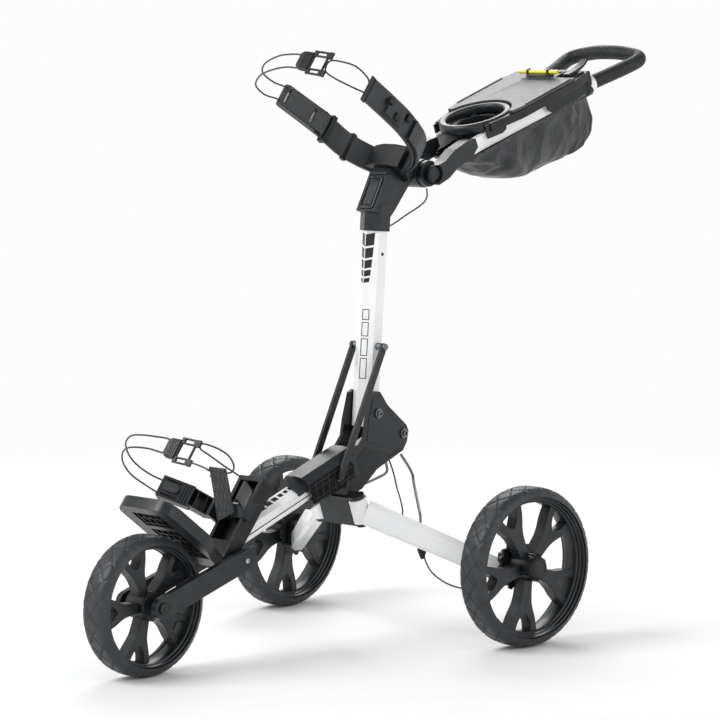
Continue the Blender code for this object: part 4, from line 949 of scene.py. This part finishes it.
def handle():
    for label in ("left", "right"):
        refined(label + "_handle_bracket", BLACK, 0.0024, 3)
        refined(label + "_rail", WHITE, 0.0016, 3)
    refined("console_tray", DARK, 0.0012)
    refined("console_lid", LID, 0.0014, 3)
    refined("pencil", YELLOW, 0.0003)
    cup_holder()
    console_details()
    refined("brake_lever", DARK, 0.0014, 3)
    refined("release_button", DARK, 0.0010)
    half = [(0.0660, 0.4700, 0.0095), (0.0720, 0.5000, 0.0095), (0.0800, 0.5400, 0.0095),
            (0.0875, 0.5760, 0.0105), (0.0880, 0.5960, 0.0120), (0.0760, 0.6080, 0.0145),
            (0.0500, 0.6120, 0.0180), (0.0250, 0.6130, 0.0205)]
    bow = half + [(0, 0.6130, 0.0210)] + [(-x, y, z) for x, y, z in reversed(half)]
    cable("grip_foam", smooth([HANDLE @ Vector(p) for p in bow], 10), 0.0140, FOAM, "handle",
          ["grip"], 8)
    for side in (1, -1):
        low, high = sorted((side * 0.0500, side * 0.0805))
        extra(("left" if side > 0 else "right") + "_rail_cap",
              block(low, high, 0.4400, 0.4585, -0.0060, 0.0400, HANDLE), DARK, "handle", 0.0050, 4)
        collar = HANDLE @ place((side * 0.0668, 0.4660, 0.0095), 0.0, -side * math.radians(11))
        ring = [(0.0140, -0.003), (0.0158, -0.003), (0.0163, 0.0), (0.0158, 0.003), (0.0140, 0.003)]
        quarter = collar @ Matrix.Rotation(math.pi / 2, 4, "Z")
        extra(("left" if side > 0 else "right") + "_collar", turned(ring, 40, quarter), WHITE,
              "handle", 0.0003)
    accessory_bag()


# ---- cords ----------------------------------------------------------------------------------
CORD, CABLE = 0.0020, 0.0015
UPPER_CORD = [(-0.1205, -0.2250, 0.015), (-0.1420, -0.2340, 0.018), (-0.1530, -0.2560, 0.022),
              (-0.1260, -0.2830, 0.023), (-0.0720, -0.3090, 0.020), (-0.0300, -0.3200, 0.017),
              (0.0015, -0.3200, 0.014)]
UPPER_CORD_LOW = [(-0.1240, -0.2255, -0.013), (-0.1450, -0.2360, -0.012),
                  (-0.1470, -0.2620, -0.010), (-0.1100, -0.2920, -0.009),
                  (-0.0620, -0.3090, -0.008), (-0.0250, -0.3160, -0.008),
                  (0.0015, -0.3160, -0.008)]
UPPER_LOOP = [(0.0590, -0.3045, 0.014), (0.0800, -0.2980, 0.018), (0.1050, -0.2840, 0.018),
              (0.1180, -0.2600, 0.012), (0.1145, -0.2440, 0.006)]
UPPER_LOOP_LOW = [(0.0590, -0.3035, -0.006), (0.0760, -0.2940, -0.014),
                  (0.0950, -0.2780, -0.016), (0.1090, -0.2580, -0.014),
                  (0.1135, -0.2440, -0.010)]
LOWER_CORD = [(-0.1210, -0.0640, -0.004), (-0.1385, -0.0785, -0.003), (-0.1495, -0.1015, -0.001),
              (-0.1450, -0.1320, 0.000), (-0.1265, -0.1665, 0.002), (-0.1055, -0.1890, 0.003),
              (-0.0790, -0.2060, 0.005), (-0.0500, -0.2110, 0.006), (-0.0200, -0.2080, 0.008),
              (0.0110, -0.1990, 0.009)]
LOWER_CORD_LOW = [(-0.1250, -0.0575, -0.026), (-0.1370, -0.0800, -0.025),
                  (-0.1460, -0.1070, -0.024), (-0.1385, -0.1400, -0.022),
                  (-0.1195, -0.1690, -0.021), (-0.0955, -0.1925, -0.020),
                  (-0.0710, -0.2060, -0.019), (-0.0450, -0.2100, -0.018),
                  (-0.0200, -0.2060, -0.016), (0.0110, -0.1960, -0.014)]
LOWER_LOOP = [(0.0690, -0.0640, 0.0210), (0.0640, -0.0760, 0.0215), (0.0590, -0.1020, 0.0200),
              (0.0600, -0.1300, 0.0170), (0.0640, -0.1580, 0.0130), (0.0705, -0.1800, 0.0085),
              (0.0725, -0.1860, 0.0125), (0.0720, -0.1830, 0.0180), (0.0760, -0.1700, 0.0230),
              (0.0810, -0.1520, 0.0270), (0.0810, -0.1300, 0.0300), (0.0740, -0.1080, 0.0310),
              (0.0620, -0.0850, 0.0290), (0.0480, -0.0730, 0.0240), (0.0220, -0.0700, 0.0220),
              (-0.0040, -0.0730, 0.0215), (0.0020, -0.0840, 0.0180), (0.0200, -0.1080, 0.0090),
              (0.0420, -0.1450, -0.0050), (0.0640, -0.1760, -0.0180), (0.0725, -0.1865, -0.0240)]
ELBOW_LOOP = [(0.0170, 0.0375, 0.7530), (0.0190, 0.0490, 0.7580), (0.0260, 0.0750, 0.7730),
              (0.0330, 0.1050, 0.7890), (0.0340, 0.1190, 0.8010), (0.0330, 0.1215, 0.8120),
              (0.0320, 0.1210, 0.8190)]
BRAKE_RUN = [(0.0040, 0.0420, 0.3262), (0.0080, 0.0480, 0.3120), (0.0200, 0.0460, 0.2900),
             (0.0420, 0.0300, 0.2700), (0.0720, 0.0060, 0.2560), (0.0960, -0.0140, 0.2420)]
WHEEL_TAIL = [(0.1280, 0.0100, 0.1600), (0.1340, 0.0080, 0.1450), (0.1480, 0.0120, 0.1240),
              (0.1750, 0.0240, 0.1060), (0.2050, 0.0400, 0.0980), (0.2300, 0.0540, 0.0950),
              (0.2420, 0.0620, 0.0960)]


def buckle_details(label, where, body):
    """Ribs and a rounded nose on the buckle's block."""
    bm = bmesh.new()
    nose = [(-0.0175, -0.0180), (-0.0230, -0.0170), (-0.0275, -0.0120), (-0.0275, 0.0130),
            (-0.0230, 0.0180), (-0.0175, 0.0190)]
    prism(nose, -0.0047, 0.0047, "Y", where, bm)
    extra(label + "_buckle_nose", bm, DARK, body, 0.0012, 3)
    bm = bmesh.new()
    for k in range(4):
        x = -0.0165 + 0.0042 * k
        block(x, x + 0.0018, -0.0060, 0.0060, -0.0170, 0.0180, where, bm)
    extra(label + "_buckle_ribs", bm, BLACK, body, 0.0005)
    bm = bmesh.new()
    for z0, z1 in ((0.0125, 0.0265), (-0.0255, -0.0125)):
        block(0.0285, 0.0375, -0.0024, 0.0024, z0, z1, where, bm)
    extra(label + "_buckle_guides", bm, DARK, body, 0.0011, 3)


def cords():
    upper = UPPER @ place((0.0255, -0.3125, 0.005), 0.0, math.radians(12))
    lower = LOWER @ place((0.0355, -0.1925, -0.005), 0.0, math.radians(10))
    for label, where, body, seat, line, loop in (
            ("upper", UPPER, "mast", upper, UPPER_CORD + UPPER_CORD_LOW[::-1],
             UPPER_LOOP[::-1] + UPPER_LOOP_LOW),
            ("lower", LOWER, "frame", lower, LOWER_CORD + LOWER_CORD_LOW[::-1], LOWER_LOOP)):
        buckle = refined(label + "_buckle", DARK, 0.0009)
        buckle_details(label, seat, body)
        for kind, points, on_it in (("cord", line, [buckle]), ("loop", loop, [])):
            path = smooth([where @ Vector(p) for p in points], 8)
            node = label + "_" + kind
            for end, inner in ((0, 1), (-1, -2)):      # reach on into the part that holds it
                path.insert(0 if end == 0 else len(path),
                            path[end] + (path[end] - path[inner]).normalized() * 0.0080)
            piece = cable(node + "_line", path, CORD * 0.8, BRAID, body, [node])
    cable("handle_cable_line", smooth(ELBOW_LOOP, 8), CABLE, JACKET, "mast", ["handle_cable"])
    cable("brake_cable_line", smooth(BRAKE_RUN + [(0.0985, -0.0160, 0.2300)], 8), CABLE, JACKET, "frame", ["brake_cable"])
    cable("wheel_cable_line", smooth(WHEEL_TAIL, 8), CABLE, JACKET, "left_arm", ["wheel_cable"])
    for label in ("left", "right"):
        side = 1 if label == "left" else -1
        rod = [joint_at(label + "_rod_turn"), (side * 0.0280, 0.0760, 0.3050),
               (side * 0.0330, 0.0830, 0.2870), (side * 0.0480, 0.0700, 0.2740),
               (side * 0.1000, 0.0250, 0.2430), (side * 0.1240, 0.0040, 0.2290),
               (side * 0.1290, -0.0010, 0.2150)]
        cable(label + "_rod_line", smooth(rod, 8), 0.0026, STEEL, label + "_rod",
              [label + "_link_rod"])


# ---- surroundings ---------------------------------------------------------------------------
BACKDROP = 0.98              # brightness of the white surroundings


def studio():
    world = bpy.data.worlds.new("studio")
    bpy.context.scene.world = world
    world.use_nodes = True
    tree = world.node_tree
    background = tree.nodes["Background"]
    background.inputs["Strength"].default_value = BACKDROP
    where = tree.nodes.new("ShaderNodeTexCoord")
    height = tree.nodes.new("ShaderNodeSeparateXYZ")
    fade = tree.nodes.new("ShaderNodeMapRange")
    for name, value in (("From Min", 0.18), ("From Max", 0.85), ("To Min", 1.0), ("To Max", 0.40)):
        fade.inputs[name].default_value = value
    tree.links.new(where.outputs["Generated"], height.inputs["Vector"])
    tree.links.new(height.outputs["Z"], fade.inputs["Value"])
    tree.links.new(fade.outputs["Result"], background.inputs["Color"])
    # the floor is lit near the object and fades into the white surroundings
    ground = Shader("pale_floor")
    ground.link(ground.mixed((0.88, 0.885, 0.89), (0.92, 0.92, 0.92), ground.noise(2.0)),
                ground.main.inputs["Base Color"])
    ground.set(Roughness=0.9)
    where = ground.add("ShaderNodeTexCoord")
    far = ground.add("ShaderNodeVectorMath", operation="LENGTH")
    ground.link(where.outputs["Object"], far.inputs[0])
    glow = ground.add("ShaderNodeEmission")
    glow.inputs["Strength"].default_value = BACKDROP
    blend = ground.add("ShaderNodeMixShader")
    ground.link(ground.ranged(far.outputs["Value"], 0.0, 1.0, 0.9, 2.6), blend.inputs[0])
    ground.link(ground.main.outputs[0], blend.inputs[1])
    ground.link(glow.outputs[0], blend.inputs[2])
    final = next(n for n in ground.material.node_tree.nodes if n.type == "OUTPUT_MATERIAL")
    ground.link(blend.outputs[0], final.inputs["Surface"])
    bm = bmesh.new()
    bmesh.ops.create_grid(bm, x_segments=1, y_segments=1, size=30.0)
    floor = from_bmesh(bm, "floor", tidy=False)
    floor.data.materials.append(ground.material)
    for name, spot, size, power in (("key", (-1.6, -3.2, 3.6), 2.2, 130), ("fill", (4.2, 0.6, 2.4), 3.0, 40),
                                    ("back", (-2.4, 2.6, 3.4), 2.6, 90)):
        light = bpy.data.lights.new(name, "AREA")
        light.energy = power
        light.size = size
        lamp = bpy.data.objects.new(name, light)
        bpy.context.collection.objects.link(lamp)
        lamp.location = spot
        lamp.rotation_euler = (Vector((0, 0, 0.5)) - lamp.location).to_track_quat(
            "-Z", "Y").to_euler()
    scene = bpy.context.scene
    scene.view_settings.view_transform = "Standard"
    scene.view_settings.exposure = 0.0


def camera():
    azimuth, elevation, distance = math.radians(43.22), math.radians(5.97), 6.0
    back = Vector((math.sin(azimuth) * math.cos(elevation), -math.cos(azimuth) * math.cos(elevation),
                   math.sin(elevation)))
    lens = bpy.data.cameras.new("camera")
    lens.lens = 160.6
    lens.sensor_width = 36.0
    eye = bpy.data.objects.new("camera", lens)
    bpy.context.collection.objects.link(eye)
    eye.location = Vector((-0.0675, 0.0470, 0.4979)) + back * distance
    eye.rotation_euler = back.to_track_quat("Z", "Y").to_euler()
    bpy.context.scene.camera = eye


camera()
cords()
wheels()
lower_frame()
lower_cradle()
mast()
upper_cradle()
handle()
studio()
